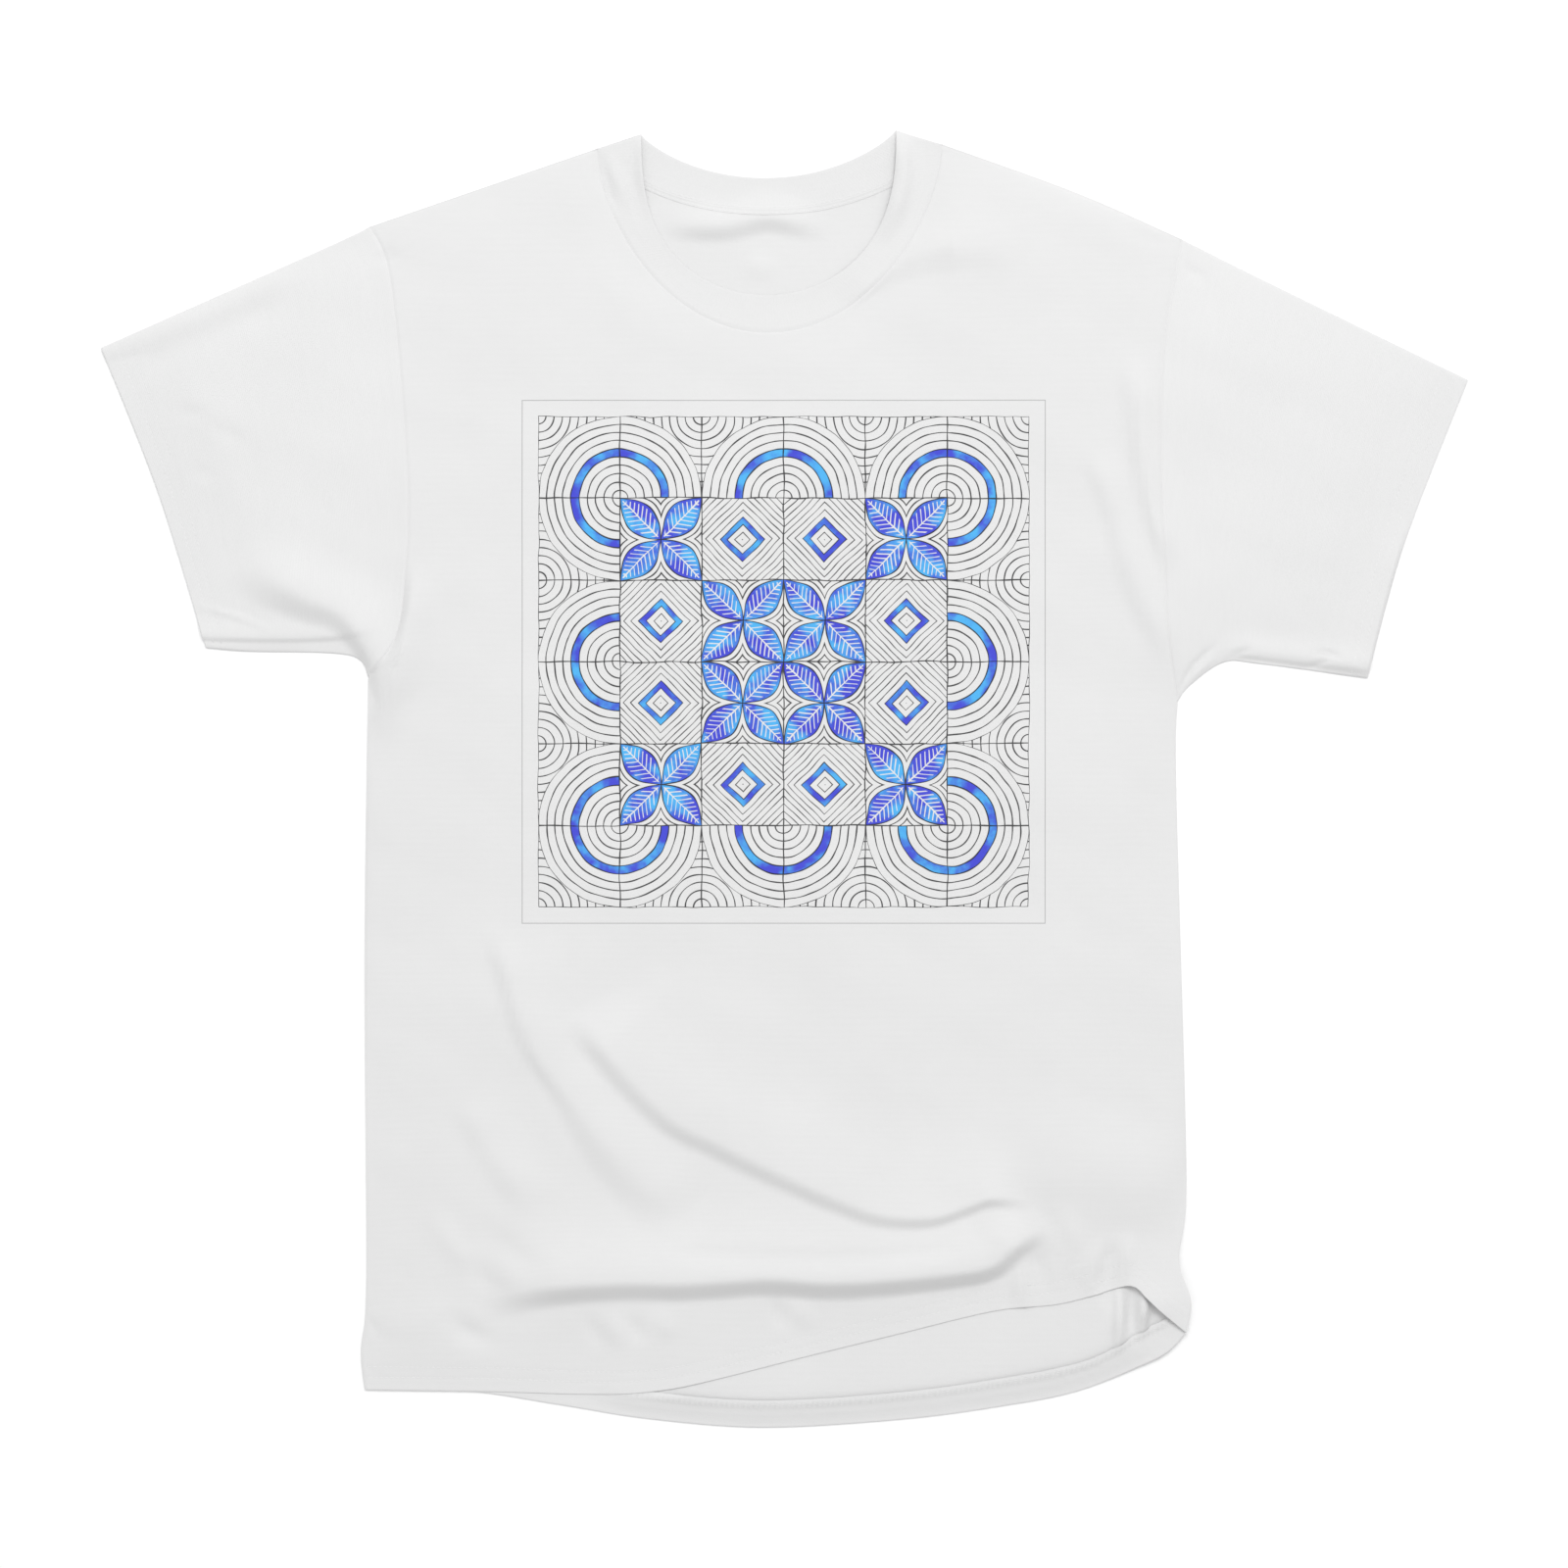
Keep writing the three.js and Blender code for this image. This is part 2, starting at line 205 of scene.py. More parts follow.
class ShirtCloth(bpy.types.PropertyGroup):
    """Sizes of the cloth, its hems and its seams."""

    thickness: FloatProperty(
        name="Jersey", description="Thickness of one layer of jersey", default=0.0004, unit="LENGTH"
    )
    rib_thickness: FloatProperty(
        name="Rib", description="Thickness of the doubled rib collar", default=0.0006, unit="LENGTH"
    )
    loft: FloatProperty(
        name="Loft", description="How far the front stands off the back inside the shirt",
        default=0.0036, unit="LENGTH",
    )
    edge_roll: FloatProperty(
        name="Edge roll", description="Distance from a joined edge over which the loft grows",
        default=0.02, unit="LENGTH",
    )
    hem_depth: FloatProperty(
        name="Hem depth", description="Width of the turned-up cloth at hem and cuffs",
        default=0.0144, unit="LENGTH",
    )
    stitch_pitch: FloatProperty(
        name="Stitch pitch", description="Distance from one stitch to the next", default=0.003, unit="LENGTH"
    )
    thread: FloatProperty(
        name="Thread", description="Diameter of the sewing thread", default=0.00042, unit="LENGTH"
    )
    rib_pitch: FloatProperty(
        name="Rib pitch", description="Distance from one rib of the collar to the next",
        default=0.0016, unit="LENGTH",
    )
    rib_depth: FloatProperty(
        name="Rib depth", description="Depth of the grooves between ribs", default=0.00006, unit="LENGTH"
    )


class ShirtLooks(bpy.types.PropertyGroup):
    """Colours of the cloth and of its print."""

    cotton: FloatVectorProperty(
        name="Cotton", description="White of the jersey", subtype="COLOR", default=(0.75, 0.75, 0.75)
    )
    rib: FloatVectorProperty(
        name="Rib", description="White of the collar", subtype="COLOR", default=(0.74, 0.74, 0.74)
    )
    tape: FloatVectorProperty(
        name="Tape", description="White of the neck tape", subtype="COLOR", default=(0.75, 0.75, 0.75)
    )
    thread: FloatVectorProperty(
        name="Thread", description="White of the sewing thread", subtype="COLOR", default=(0.78, 0.78, 0.78)
    )
    ink: FloatVectorProperty(
        name="Ink", description="Colour of the printed lines", subtype="COLOR", default=(0.02, 0.02, 0.022)
    )
    deep_blue: FloatVectorProperty(
        name="Deep blue", description="Darker colour of the printed wash", subtype="COLOR",
        default=(0.01, 0.02, 0.62),
    )
    light_blue: FloatVectorProperty(
        name="Light blue", description="Lighter colour of the printed wash", subtype="COLOR",
        default=(0.03, 0.42, 0.86),
    )


class ShirtStage(bpy.types.PropertyGroup):
    """The floor, the light and the camera."""

    floor: FloatVectorProperty(
        name="Floor", description="Colour of the floor", subtype="COLOR", default=(0.95, 0.95, 0.95)
    )
    sky: FloatProperty(name="Sky", description="Strength of the light from all round", default=0.76)
    key: FloatProperty(
        name="Key", description="Power of the soft light beyond the collar", default=78.0, unit="POWER"
    )
    lens: FloatProperty(name="Lens", description="Focal length of the camera", default=85.0, unit="CAMERA")
    view_width: FloatProperty(
        name="View width", description="Width of the picture on the floor", default=0.88, unit="LENGTH"
    )


def smoothstep(value, low, high):
    """Smooth rise from 0 at low to 1 at high."""
    t = np.clip((value - low) / (high - low), 0, 1)
    return t * t * (3 - 2 * t)


# Plan lines

class Line:
    """A smooth plan line through a few points, read by the share of its length."""

    STEPS = 10

    def __init__(self, *knots):
        knots = np.array((knots[0], *knots, knots[-1]), float)
        t = np.linspace(0, 1, self.STEPS, endpoint=False)[:, None]
        spans = []
        for before, start, end, after in zip(knots, knots[1:], knots[2:], knots[3:]):
            leave, arrive = (end - before) / 2, (after - start) / 2
            cubic = 2 * start - 2 * end + leave + arrive
            square = -3 * start + 3 * end - 2 * leave - arrive
            spans.append(cubic * t**3 + square * t**2 + leave * t + start)
        self.set_points(np.vstack([*spans, knots[-1:]]))

    def set_points(self, points):
        steps = np.linalg.norm(np.diff(points, axis=0), axis=1)
        self.points = points
        self.length = steps.sum()
        self.shares = np.concatenate([[0], np.cumsum(steps)]) / self.length

    def at(self, share):
        return np.stack([np.interp(share, self.shares, self.points[:, axis]) for axis in (0, 1)], axis=-1)

    def nearest(self, p):
        """How far each point is from the line, whether on its left (1) or right (-1), and the share of the
        length there."""
        distance = np.full(len(p), np.inf)
        side = np.zeros(len(p))
        along = np.zeros(len(p))
        for i, start in enumerate(self.points[:-1]):
            chord = self.points[i + 1] - start
            reach = p - start
            t = np.clip(reach @ chord / (chord @ chord), 0, 1)
            gap = np.hypot(reach[:, 0] - t * chord[0], reach[:, 1] - t * chord[1])
            closer = gap < distance
            distance = np.where(closer, gap, distance)
            side = np.where(closer, np.sign(chord[0] * reach[:, 1] - chord[1] * reach[:, 0]), side)
            along = np.where(closer, self.shares[i] + t * (self.shares[i + 1] - self.shares[i]), along)
        return distance, side, along


class Neckline(Line):
    """A line that hangs below the chord between its ends. It is read by its angle, not by its length."""

    SAMPLES = 80

    def __init__(self, start, end, depth, bow):
        self.start, self.end = np.array(start, float), np.array(end, float)
        self.depth, self.bow = depth, bow
        self.set_points(self.at(np.linspace(0, 1, self.SAMPLES)))

    def at(self, share):
        turn = math.pi * np.asarray(share, float)
        p = self.start + (self.end - self.start) * ((1 - np.cos(turn)) / 2)[..., None]
        p[..., 1] -= self.depth * np.abs(np.sin(turn)) ** self.bow
        return p


left_side = Line(LEFT_HEM, (-231, -321), (-228, -280), (-229, -100), LEFT_UNDERARM)
right_side = Line(
    RIGHT_HEM, (236, -293), (229.4, -271), (233.5, -240), (233, -180), (228, 0), RIGHT_UNDERARM
)
left_armhole = Line(
    LEFT_UNDERARM, (-211, 80), (-205.5, 120), (-204.5, 167), (-208.5, 227), (-215.5, 287), LEFT_SHOULDER
)
right_armhole = Line(
    RIGHT_UNDERARM, (224, 78), (221.5, 121), (219.3, 191), (220.5, 239), (226, 276), RIGHT_SHOULDER
)
front_hem = Line(
    LEFT_HEM, (-160, -344.5), (-100, -346), (-62, -343.5), (-31, -337.3), (20, -324.4), (70, -312.2),
    (125, -299), (160, -295.3), (182, -290), (202, -284.6), (211, -291.5), (220, -299.8), RIGHT_HEM,
)
back_hem = Line(
    LEFT_HEM, (-170, -344.5), (-119, -352), (-68, -360), (-4, -364.7), (73, -360.2), (130, -352.7),
    (172, -344.4), (208, -329.8), (223, -322), RIGHT_HEM,
)
left_top = Line(LEFT_CUFF_TOP, (-251, 299), LEFT_SHOULDER)
right_top = Line(RIGHT_CUFF_TOP, (277, 281), RIGHT_SHOULDER)
left_under = Line(LEFT_CUFF_BOTTOM, (-293, 72), (-238, 70), LEFT_UNDERARM)
right_under = Line(RIGHT_CUFF_BOTTOM, (276, 65), (255, 66), (236, 53), RIGHT_UNDERARM)
left_cuff = Line(LEFT_CUFF_TOP, (-345, 162), LEFT_CUFF_BOTTOM)
right_cuff = Line(RIGHT_CUFF_TOP, (357, 135), RIGHT_CUFF_BOTTOM)
left_shoulder = Line(LEFT_SHOULDER, LEFT_NECK)
right_shoulder = Line(RIGHT_NECK, (172, 330), RIGHT_SHOULDER)
front_neck_seam = Neckline(LEFT_NECK, RIGHT_NECK, 105, 1.2)
front_neck_edge = Neckline(LEFT_COLLAR_TOP, RIGHT_COLLAR_TOP, 92, 0.75)
back_neck_seam = Neckline(LEFT_NECK, RIGHT_NECK, 36, 1.6)
back_neck_edge = Neckline(LEFT_COLLAR_TOP, RIGHT_COLLAR_TOP, 26, 1.62)
left_collar_fold = Line(LEFT_NECK, LEFT_COLLAR_TOP)
right_collar_fold = Line(RIGHT_COLLAR_TOP, RIGHT_NECK)

# The edges where front and back are joined
JOINED_EDGES = (
    left_side, right_side, left_under, right_under, left_top, right_top,
    left_shoulder, right_shoulder, left_collar_fold, right_collar_fold,
)
# The edges of the upper layer that lie loose on the lower one
OPEN_EDGES = (front_hem, front_neck_edge, left_cuff, right_cuff)


def edge(*stretches):
    """An edge made of several lines, each over its own share of the way along."""

    def at(t):
        t = np.asarray(t, float)
        p = np.zeros((*t.shape, 2))
        start = 0.0
        for line, share in stretches:
            here = t >= start - 1e-9
            p[here] = line.at(np.clip((t[here] - start) / share, 0, 1))
            start += share
        return p

    return at


def patch(bottom, top, left, right, reach=1.0):
    """The four-sided plan between its edges: u along bottom and top, v along left and right. The bow of the
    left and right edges dies out over a reach, a share of the way across."""
    corners = [line(np.array(end)) for line in (bottom, top) for end in (0.0, 1.0)]

    def at(u, v):
        up = v[..., None]
        left_bow = left(v) - corners[0] * (1 - up) - corners[2] * up
        right_bow = right(v) - corners[1] * (1 - up) - corners[3] * up
        left_share = 1 - smoothstep(u, 0, reach)[..., None]
        right_share = smoothstep(u, 1 - reach, 1)[..., None]
        return bottom(u) * (1 - up) + top(u) * up + left_bow * left_share + right_bow * right_share

    return at


def spacing(length, *zones):
    """Shares of a length, with a step of its own in each zone. A zone is (where it ends, step)."""
    places = [0.0]
    for end, step in zones:
        count = max(1, round((end - places[-1]) / step))
        places.extend(np.linspace(places[-1], end, count + 1)[1:])
    return np.array(places) / length


# Heights of the cloth

def bell(distance, width):
    """Bell curve, 1 at no distance, that falls over a width."""
    return np.exp(-((distance / width) ** 2))


def ripples(p, seed, count, shortest, longest):
    """Smooth chance waves between two wavelengths, about one high."""
    chance = np.random.default_rng(seed)
    total = np.zeros(len(p))
    for _ in range(count):
        heading, phase = chance.uniform(0, 2 * math.pi, 2)
        wave = 2 * math.pi / chance.uniform(shortest, longest)
        total += np.sin(wave * (p[:, 0] * math.cos(heading) + p[:, 1] * math.sin(heading)) + phase)
    return total * math.sqrt(2 / count)


def fading(along, length, tapers=EVEN_TAPERS):
    """Share of a fold's height that is left near the two ends of its path."""
    first, last = (min(taper, length / 2) for taper in tapers)
    return smoothstep(along * length, 0, first) * smoothstep((1 - along) * length, 0, last)


def fold_heights(folds, p):
    """Heights of folds with a steep face and a gentle back."""
    total = np.zeros(len(p))
    for rise, (first_width, last_width), back, tapers, path in folds:
        line = Line(*path)
        distance, side, along = line.nearest(p)
        half = (first_width + (last_width - first_width) * along) / 2
        across = distance * side
        profile = smoothstep(across, -half, half) * bell(np.maximum(across - half, 0), back)
        total += rise * fading(along, line.length, tapers) * profile
    return total


def ripple_heights(ridges, p):
    """Heights of soft ridges and hollows."""
    total = np.zeros(len(p))
    for rise, width, path in ridges:
        line = Line(*path)
        distance, _, along = line.nearest(p)
        total += rise * fading(along, line.length) * bell(distance, width)
    return total


def at_corner(p):
    """Share of the lift at the lower right corner."""
    return smoothstep(p[:, 0], *CORNER_X) * smoothstep(-p[:, 1], -CORNER_Y[0], -CORNER_Y[1])


def nearest_of(lines, p):
    return np.min([line.nearest(p)[0] for line in lines], axis=0)


def from_joined_edge(p):
    return nearest_of(JOINED_EDGES, p)


def rounded(distance, radius):
    """Quarter-round rise from 0 at an edge to 1 at the radius."""
    inside = np.clip(distance / radius, 0, 1)
    return np.sqrt(1 - (1 - inside) ** 2)


# Heights of front and back pressed together, of one more layer in a hem, and of what the thicker rib adds
JERSEY_DOUBLED = 0.9
HEM_LAYER = 0.3
HEM_EASE = 16.0
RIB_EXTRA = 0.15
# How the cloth leaves its edges: the roundness of a joined edge, the loft at an open edge, the deepest that
# sewing presses in, and the distances over which loft and folds grow
EDGE_RADIUS = 2.4
PRESSED_LOFT = 0.05
DEEPEST_RELIEF = 0.1
OPEN_EDGE_REACH = 45
FOLDS_FROM_EDGE = 3.5
# Chance waves of the upper layer, as (height, seed, count, shortest, longest)
BROAD_WAVES = (0.4, 3, 14, 45, 130)
SMALL_WAVES = (0.07, 4, 16, 14, 34)


def layered(p, *hems):
    """Height of front and back pressed together, with one more layer for each hem that lies there."""
    depth = bpy.context.scene.shirt_cloth.hem_depth / MM
    bands = sum(1 - smoothstep(hem.nearest(p)[0], depth, depth + HEM_EASE) for hem in hems)
    return JERSEY_DOUBLED + HEM_LAYER * bands


def front_height(p, doubled, relief):
    """Outer face of the upper layer. doubled is the height of two layers pressed together at a joined edge.
    relief is what sewing adds, which can't press the layers into each other."""
    cloth = bpy.context.scene.shirt_cloth
    distance = from_joined_edge(p)
    free = 1 - np.exp(-distance / (cloth.edge_roll / MM))
    opened = smoothstep(nearest_of(OPEN_EDGES, p), 0, OPEN_EDGE_REACH)
    loft = PRESSED_LOFT + (cloth.loft / MM - PRESSED_LOFT) * opened
    hem = HEM_LIFT * bell(np.hypot(*(p - HEM_LIFT_AT).T), HEM_LIFT_REACH)
    soft = sum(height * ripples(p, *waves) for height, *waves in (BROAD_WAVES, SMALL_WAVES))
    folds = fold_heights(FRONT_FOLDS, p) + ripple_heights(FRONT_RIPPLES, p) + soft * opened
    raised = free * (loft + hem) + (1 - np.exp(-distance / FOLDS_FROM_EDGE)) * folds
    lift = FRONT_CORNER_LIFT * at_corner(p) + fold_heights(HEM_ROLLS, p)
    above = np.maximum(np.maximum(raised, 0) + relief, -DEEPEST_RELIEF)
    return doubled / 2 * (1 + rounded(distance, EDGE_RADIUS)) + lift + above


def back_height(p, doubled):
    """Outer face of the lower layer, the underside that lies on the floor, with the same doubled edge."""
    distance = from_joined_edge(p)
    folds = fold_heights(BACK_FOLDS + HEM_ROLLS, p) + ripple_heights(BACK_RIPPLES, p)
    return doubled / 2 * (1 - rounded(distance, EDGE_RADIUS)) + BACK_CORNER_LIFT * at_corner(p) + folds


# Depths and widths of what sewing does to the cloth, in millimetres
NEEDLE_ROWS = (6.4, 12.0)
NEEDLE_DIMPLE = 0.07
NEEDLE_WIDTH = 0.7
ROPE_HEIGHT = 0.05
ROPE_PITCH = 7.5
ROPE_SLANT = 0.7
ROPE_REACH = (10, 22)
SEAM_GROOVE = 0.55
SEAM_WIDTH = 0.45
ALLOWANCE = 0.1
ALLOWANCE_EDGE = (4.5, 6.5)
PUCKER = 0.06
PUCKER_PITCH = 9.0
PUCKER_FROM = 2.2
PUCKER_REACH = 6.0
RELIEF_FADE = 5.0
# Drift of a wave along a seam: its size in radians, and how many pitches it lasts
DRIFT = 2
DRIFT_PITCHES = 3


def uneven(along, pitch):
    """A wave along a seam whose pitch drifts a little."""
    return np.sin(2 * math.pi * along / pitch + DRIFT * np.sin(along / (DRIFT_PITCHES * pitch)))


def hem_relief(from_edge, along):
    """Dimples along the needle rows of a hem, and the slight roping of its cloth."""
    dimples = sum(bell(from_edge - row, NEEDLE_WIDTH) for row in NEEDLE_ROWS)
    roped = uneven(along + ROPE_SLANT * from_edge, ROPE_PITCH) * (1 - smoothstep(from_edge, *ROPE_REACH))
    return ROPE_HEIGHT * roped - NEEDLE_DIMPLE * dimples


def seam_relief(p, line, allowance=0.0):
    """Groove along a seam, the step of the cloth edges that lie under it, and the puckers that its thread
    pulls."""
    distance, _, along = line.nearest(p)
    puckers = PUCKER * uneven(along * line.length, PUCKER_PITCH)
    puckers *= np.exp(-distance / PUCKER_REACH) * smoothstep(distance, 0, PUCKER_FROM)
    step = allowance * (1 - smoothstep(distance, *ALLOWANCE_EDGE))
    return puckers + step - SEAM_GROOVE * bell(distance, SEAM_WIDTH)


# Sheets of cloth

def normals_of(grid, closed):
    """Unit normals of a grid of points, rows by columns."""
    if closed:
        grid = np.concatenate([grid[:, -2:-1], grid, grid[:, 1:2]], axis=1)
    normal = np.cross(np.gradient(grid, axis=1), np.gradient(grid, axis=0))
    normal /= np.linalg.norm(normal, axis=2, keepdims=True).clip(1e-12)
    return normal[:, 1:-1] if closed else normal


FOLD_STEPS = 5
TUCK_REACH = 2.5
TUCK_DEPTH = 0.45


def turned_under(grid, rows, gap, closed, widening=1.0):
    """The rows that wrap round the first edge of a grid and lie back under it, the last of them first.
    widening stretches them away from the edge."""
    normal = normals_of(grid, closed)
    gap = np.broadcast_to(gap, grid.shape[:2])[..., None]
    outward = grid[0] - grid[1]
    outward /= np.linalg.norm(outward, axis=1, keepdims=True)
    inner = grid - normal * gap
    row = np.outer(np.arange(1, rows), np.broadcast_to(widening, grid.shape[1]))
    below = np.minimum(row.astype(int), len(grid) - 2)
    part = (row - below)[..., None]
    column = np.arange(grid.shape[1])
    under = (inner[below, column] * (1 - part) + inner[below + 1, column] * part)[::-1]
    radius = gap[0] / 2
    angles = np.linspace(math.pi, 0, FOLD_STEPS + 1)[:-1]
    fold = [grid[0] + radius * (outward * math.sin(a) - normal[0] * (1 - math.cos(a))) for a in angles]
    return np.concatenate([under, np.array(fold)])


def tucked(grid, closed):
    """One row past the last edge of a grid, which lies under the piece that it is sewn to. It shrinks to
    nothing at a joined edge."""
    last = grid[-1]
    onward = (last - grid[-2]) * (1, 1, 0)
    onward /= np.linalg.norm(onward, axis=1, keepdims=True)
    inward = normals_of(grid, closed)[-2] * (0, 0, -1)
    share = np.clip(from_joined_edge(last[:, :2]) / TUCK_REACH, 0, 1)[:, None]
    return (last + share * (onward * TUCK_REACH + inward * TUCK_DEPTH))[None]


def flat_lengths(grid):
    """Lengths along the rows and up the columns of a grid, for a pattern that follows the cloth."""
    middle_row, middle_column = grid[len(grid) // 2], grid[:, grid.shape[1] // 2]
    across = np.concatenate([[0], np.cumsum(np.linalg.norm(np.diff(middle_row, axis=0), axis=1))])
    up = np.concatenate([[0], np.cumsum(np.linalg.norm(np.diff(middle_column, axis=0), axis=1))])
    return np.stack(np.meshgrid(across, up), axis=-1)


# UV coordinates are flat lengths in metres, moved into the unit square.
UV_CENTRE = 0.5
# Points closer than this, in metres, are joined where a sheet closes on itself.
WELD = 1e-7


def sheet_object(name, grid, flat, material, closed=False, ring=False):
    """A mesh object over a grid of points in millimetres. closed joins its first and last columns, and ring
    its first and last rows."""
    rows, columns = grid.shape[:2]
    bm = bmesh.new()
    bmesh.ops.create_grid(bm, x_segments=columns - 1, y_segments=rows - 1, size=0.5)
    bm.verts.ensure_lookup_table()
    unit = np.array([v.co[:2] for v in bm.verts]) + 0.5
    column = np.rint(unit[:, 0] * (columns - 1)).astype(int)
    row = np.rint(unit[:, 1] * (rows - 1)).astype(int)
    places = grid[row, column] * MM
    lengths = flat[row, column] * MM + UV_CENTRE
    uv = bm.loops.layers.uv.new("flat")
    for face in bm.faces:
        face.smooth = True
        for loop in face.loops:
            loop[uv].uv = lengths[loop.vert.index]
    for vert, place in zip(bm.verts, places):
        vert.co = place
    if closed or ring:
        bmesh.ops.remove_doubles(bm, verts=bm.verts, dist=WELD)
    for side in bm.edges:
        side.smooth = not side.is_boundary
    mesh = bpy.data.meshes.new(name)
    bm.to_mesh(mesh)
    bm.free()
    mesh.materials.append(material)
    piece = bpy.data.objects.new(name, mesh)
    bpy.context.scene.collection.objects.link(piece)
    return piece


def thicken(piece, thickness):
    """Give a sheet its thickness, on the side away from its outer face."""
    solidify = piece.modifiers.new("cloth thickness", "SOLIDIFY")
    solidify.thickness = thickness
    solidify.offset = -1
    solidify.use_quality_normals = True


# Stitches

# Share of the thread that sinks into the cloth, and where a stitch starts and ends within its pitch
STITCH_SINK = 0.12
STITCH_ENDS = (0.06, 0.94)
STITCH_SIDES = 6
STITCH_RINGS = 4


def stitch_row(bm, points, normals, pitch, thread, slant=0.0):
    """A row of stitches along a line of points. slant leans each stitch across the row."""
    steps = np.linalg.norm(np.diff(points, axis=0), axis=1)
    reach = np.concatenate([[0], np.cumsum(steps)])
    count = int(reach[-1] / pitch)
    for i in range(count):
        ends = [(i + share) * pitch for share in STITCH_ENDS]
        first, last = (Vector([np.interp(end, reach, points[:, axis]) for axis in range(3)]) for end in ends)
        up = Vector([np.interp((i + 0.5) * pitch, reach, normals[:, axis]) for axis in range(3)]).normalized()
        along = last - first
        side = up.cross(along).normalized()
        along += side * slant * (1 if i % 2 else -1)
        axis_x = along.normalized()
        axis_y = up.cross(axis_x).normalized()
        middle = (first + last) / 2 - up * thread * STITCH_SINK
        turn = Matrix((axis_x, axis_y, axis_x.cross(axis_y))).transposed().to_4x4()
        size = Matrix.Diagonal((along.length / 2, thread / 2, thread / 2, 1))
        bmesh.ops.create_uvsphere(
            bm, u_segments=STITCH_SIDES, v_segments=STITCH_RINGS, radius=1,
            matrix=Matrix.Translation(middle) @ turn @ size,
        )


def stitch_object(name, rows, material):
    """One mesh of stitches. Each row is (points, normals, slant) in millimetres."""
    cloth = bpy.context.scene.shirt_cloth
    mesh = bpy.data.meshes.new(name)
    for points, normals, slant in rows:
        bm = bmesh.new()
        stitch_row(bm, points * MM, normals, cloth.stitch_pitch, cloth.thread, slant * MM)
        for face in bm.faces:
            face.smooth = True
        bm.from_mesh(mesh)
        bm.to_mesh(mesh)
        bm.free()
    mesh.materials.append(material)
    piece = bpy.data.objects.new(name, mesh)
    bpy.context.scene.collection.objects.link(piece)
    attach(piece, "root")
    return piece


# Shader nodes

class Nodes:
    """Adds nodes to a tree and joins them. An input takes a socket, or a plain value."""

    def __init__(self, tree):
        self.tree = tree

    def feed(self, socket, value):
        if isinstance(value, bpy.types.NodeSocket):
            self.tree.links.new(value, socket)
        else:
            socket.default_value = value

    def add(self, kind, inputs=None, **settings):
        node = self.tree.nodes.new(kind)
        for name, value in settings.items():
            setattr(node, name, value)
        for name, value in (inputs or {}).items():
            self.feed(node.inputs[name], value)
        return node

    def math(self, operation, *values):
        return self.add("ShaderNodeMath", dict(enumerate(values)), operation=operation).outputs[0]

    def vector(self, operation, *values):
        return self.add("ShaderNodeVectorMath", dict(enumerate(values)), operation=operation).outputs[0]

    def split(self, vector):
        return self.add("ShaderNodeSeparateXYZ", {0: vector}).outputs

    def join(self, x, y, z=0.0):
        return self.add("ShaderNodeCombineXYZ", {0: x, 1: y, 2: z}).outputs[0]

    def step(self, value, low, high, to_low=0.0, to_high=1.0):
        inputs = {"Value": value, "From Min": low, "From Max": high, "To Min": to_low, "To Max": to_high}
        return self.add("ShaderNodeMapRange", inputs, interpolation_type="SMOOTHSTEP").outputs[0]

    def noise(self, vector, scale, detail=2.0):
        inputs = {"Vector": vector, "Scale": scale, "Detail": detail}
        return self.add("ShaderNodeTexNoise", inputs, normalize=True).outputs[0]

    def mix(self, factor, first, second):
        node = self.add("ShaderNodeMix", data_type="RGBA")
        for socket, value in zip((node.inputs[0], node.inputs[6], node.inputs[7]), (factor, first, second)):
            self.feed(socket, value)
        return node.outputs[2]


def shader_group(name, inputs, outputs):
    """An empty node group with named sockets. Each socket is (name, kind, default)."""
    tree = bpy.data.node_groups.new(name, "ShaderNodeTree")
    for label, kind, default in inputs:
        socket = tree.interface.new_socket(label, in_out="INPUT", socket_type="NodeSocket" + kind)
        socket.default_value = default
    for label, kind in outputs:
        tree.interface.new_socket(label, in_out="OUTPUT", socket_type="NodeSocket" + kind)
    nodes = Nodes(tree)
    return tree, nodes, nodes.add("NodeGroupInput").outputs, nodes.add("NodeGroupOutput").inputs


# Each cloth's surface, as (width of a stitch, height of a stitch, strength of the relief)
JERSEY_KNIT = (0.0008, 0.00065, 0.5)
RIB_KNIT = (0.0007, 0.0006, 0.4)
TAPE_WEAVE = (0.0009, 0.0016, 0.6)
THREAD_TWIST = (0.0004, 0.0003, 0.3)
KNIT_RELIEF = 0.00016
# How much of a stitch's height follows its course, and how much is fuzz
COURSE_SHARE = 0.4
FUZZ_SHARE = 0.35
FUZZ_SCALE = 900.0
# Uneven tone of the yarn: streaks along the courses, and broad clouds, as the tones that each runs between
STREAK_SCALE = (60.0, 480.0, 0.0)
STREAK_TONES = (0.992, 1.0)
CLOUD_SCALE = 14.0
CLOUD_TONES = (-0.014, 0.0)
TONE_RANGE = (0.3, 0.7)
COTTON_FINISH = {
    "Roughness": 0.93, "Specular IOR Level": 0.18, "Sheen Weight": 0.12, "Sheen Roughness": 0.55,
}


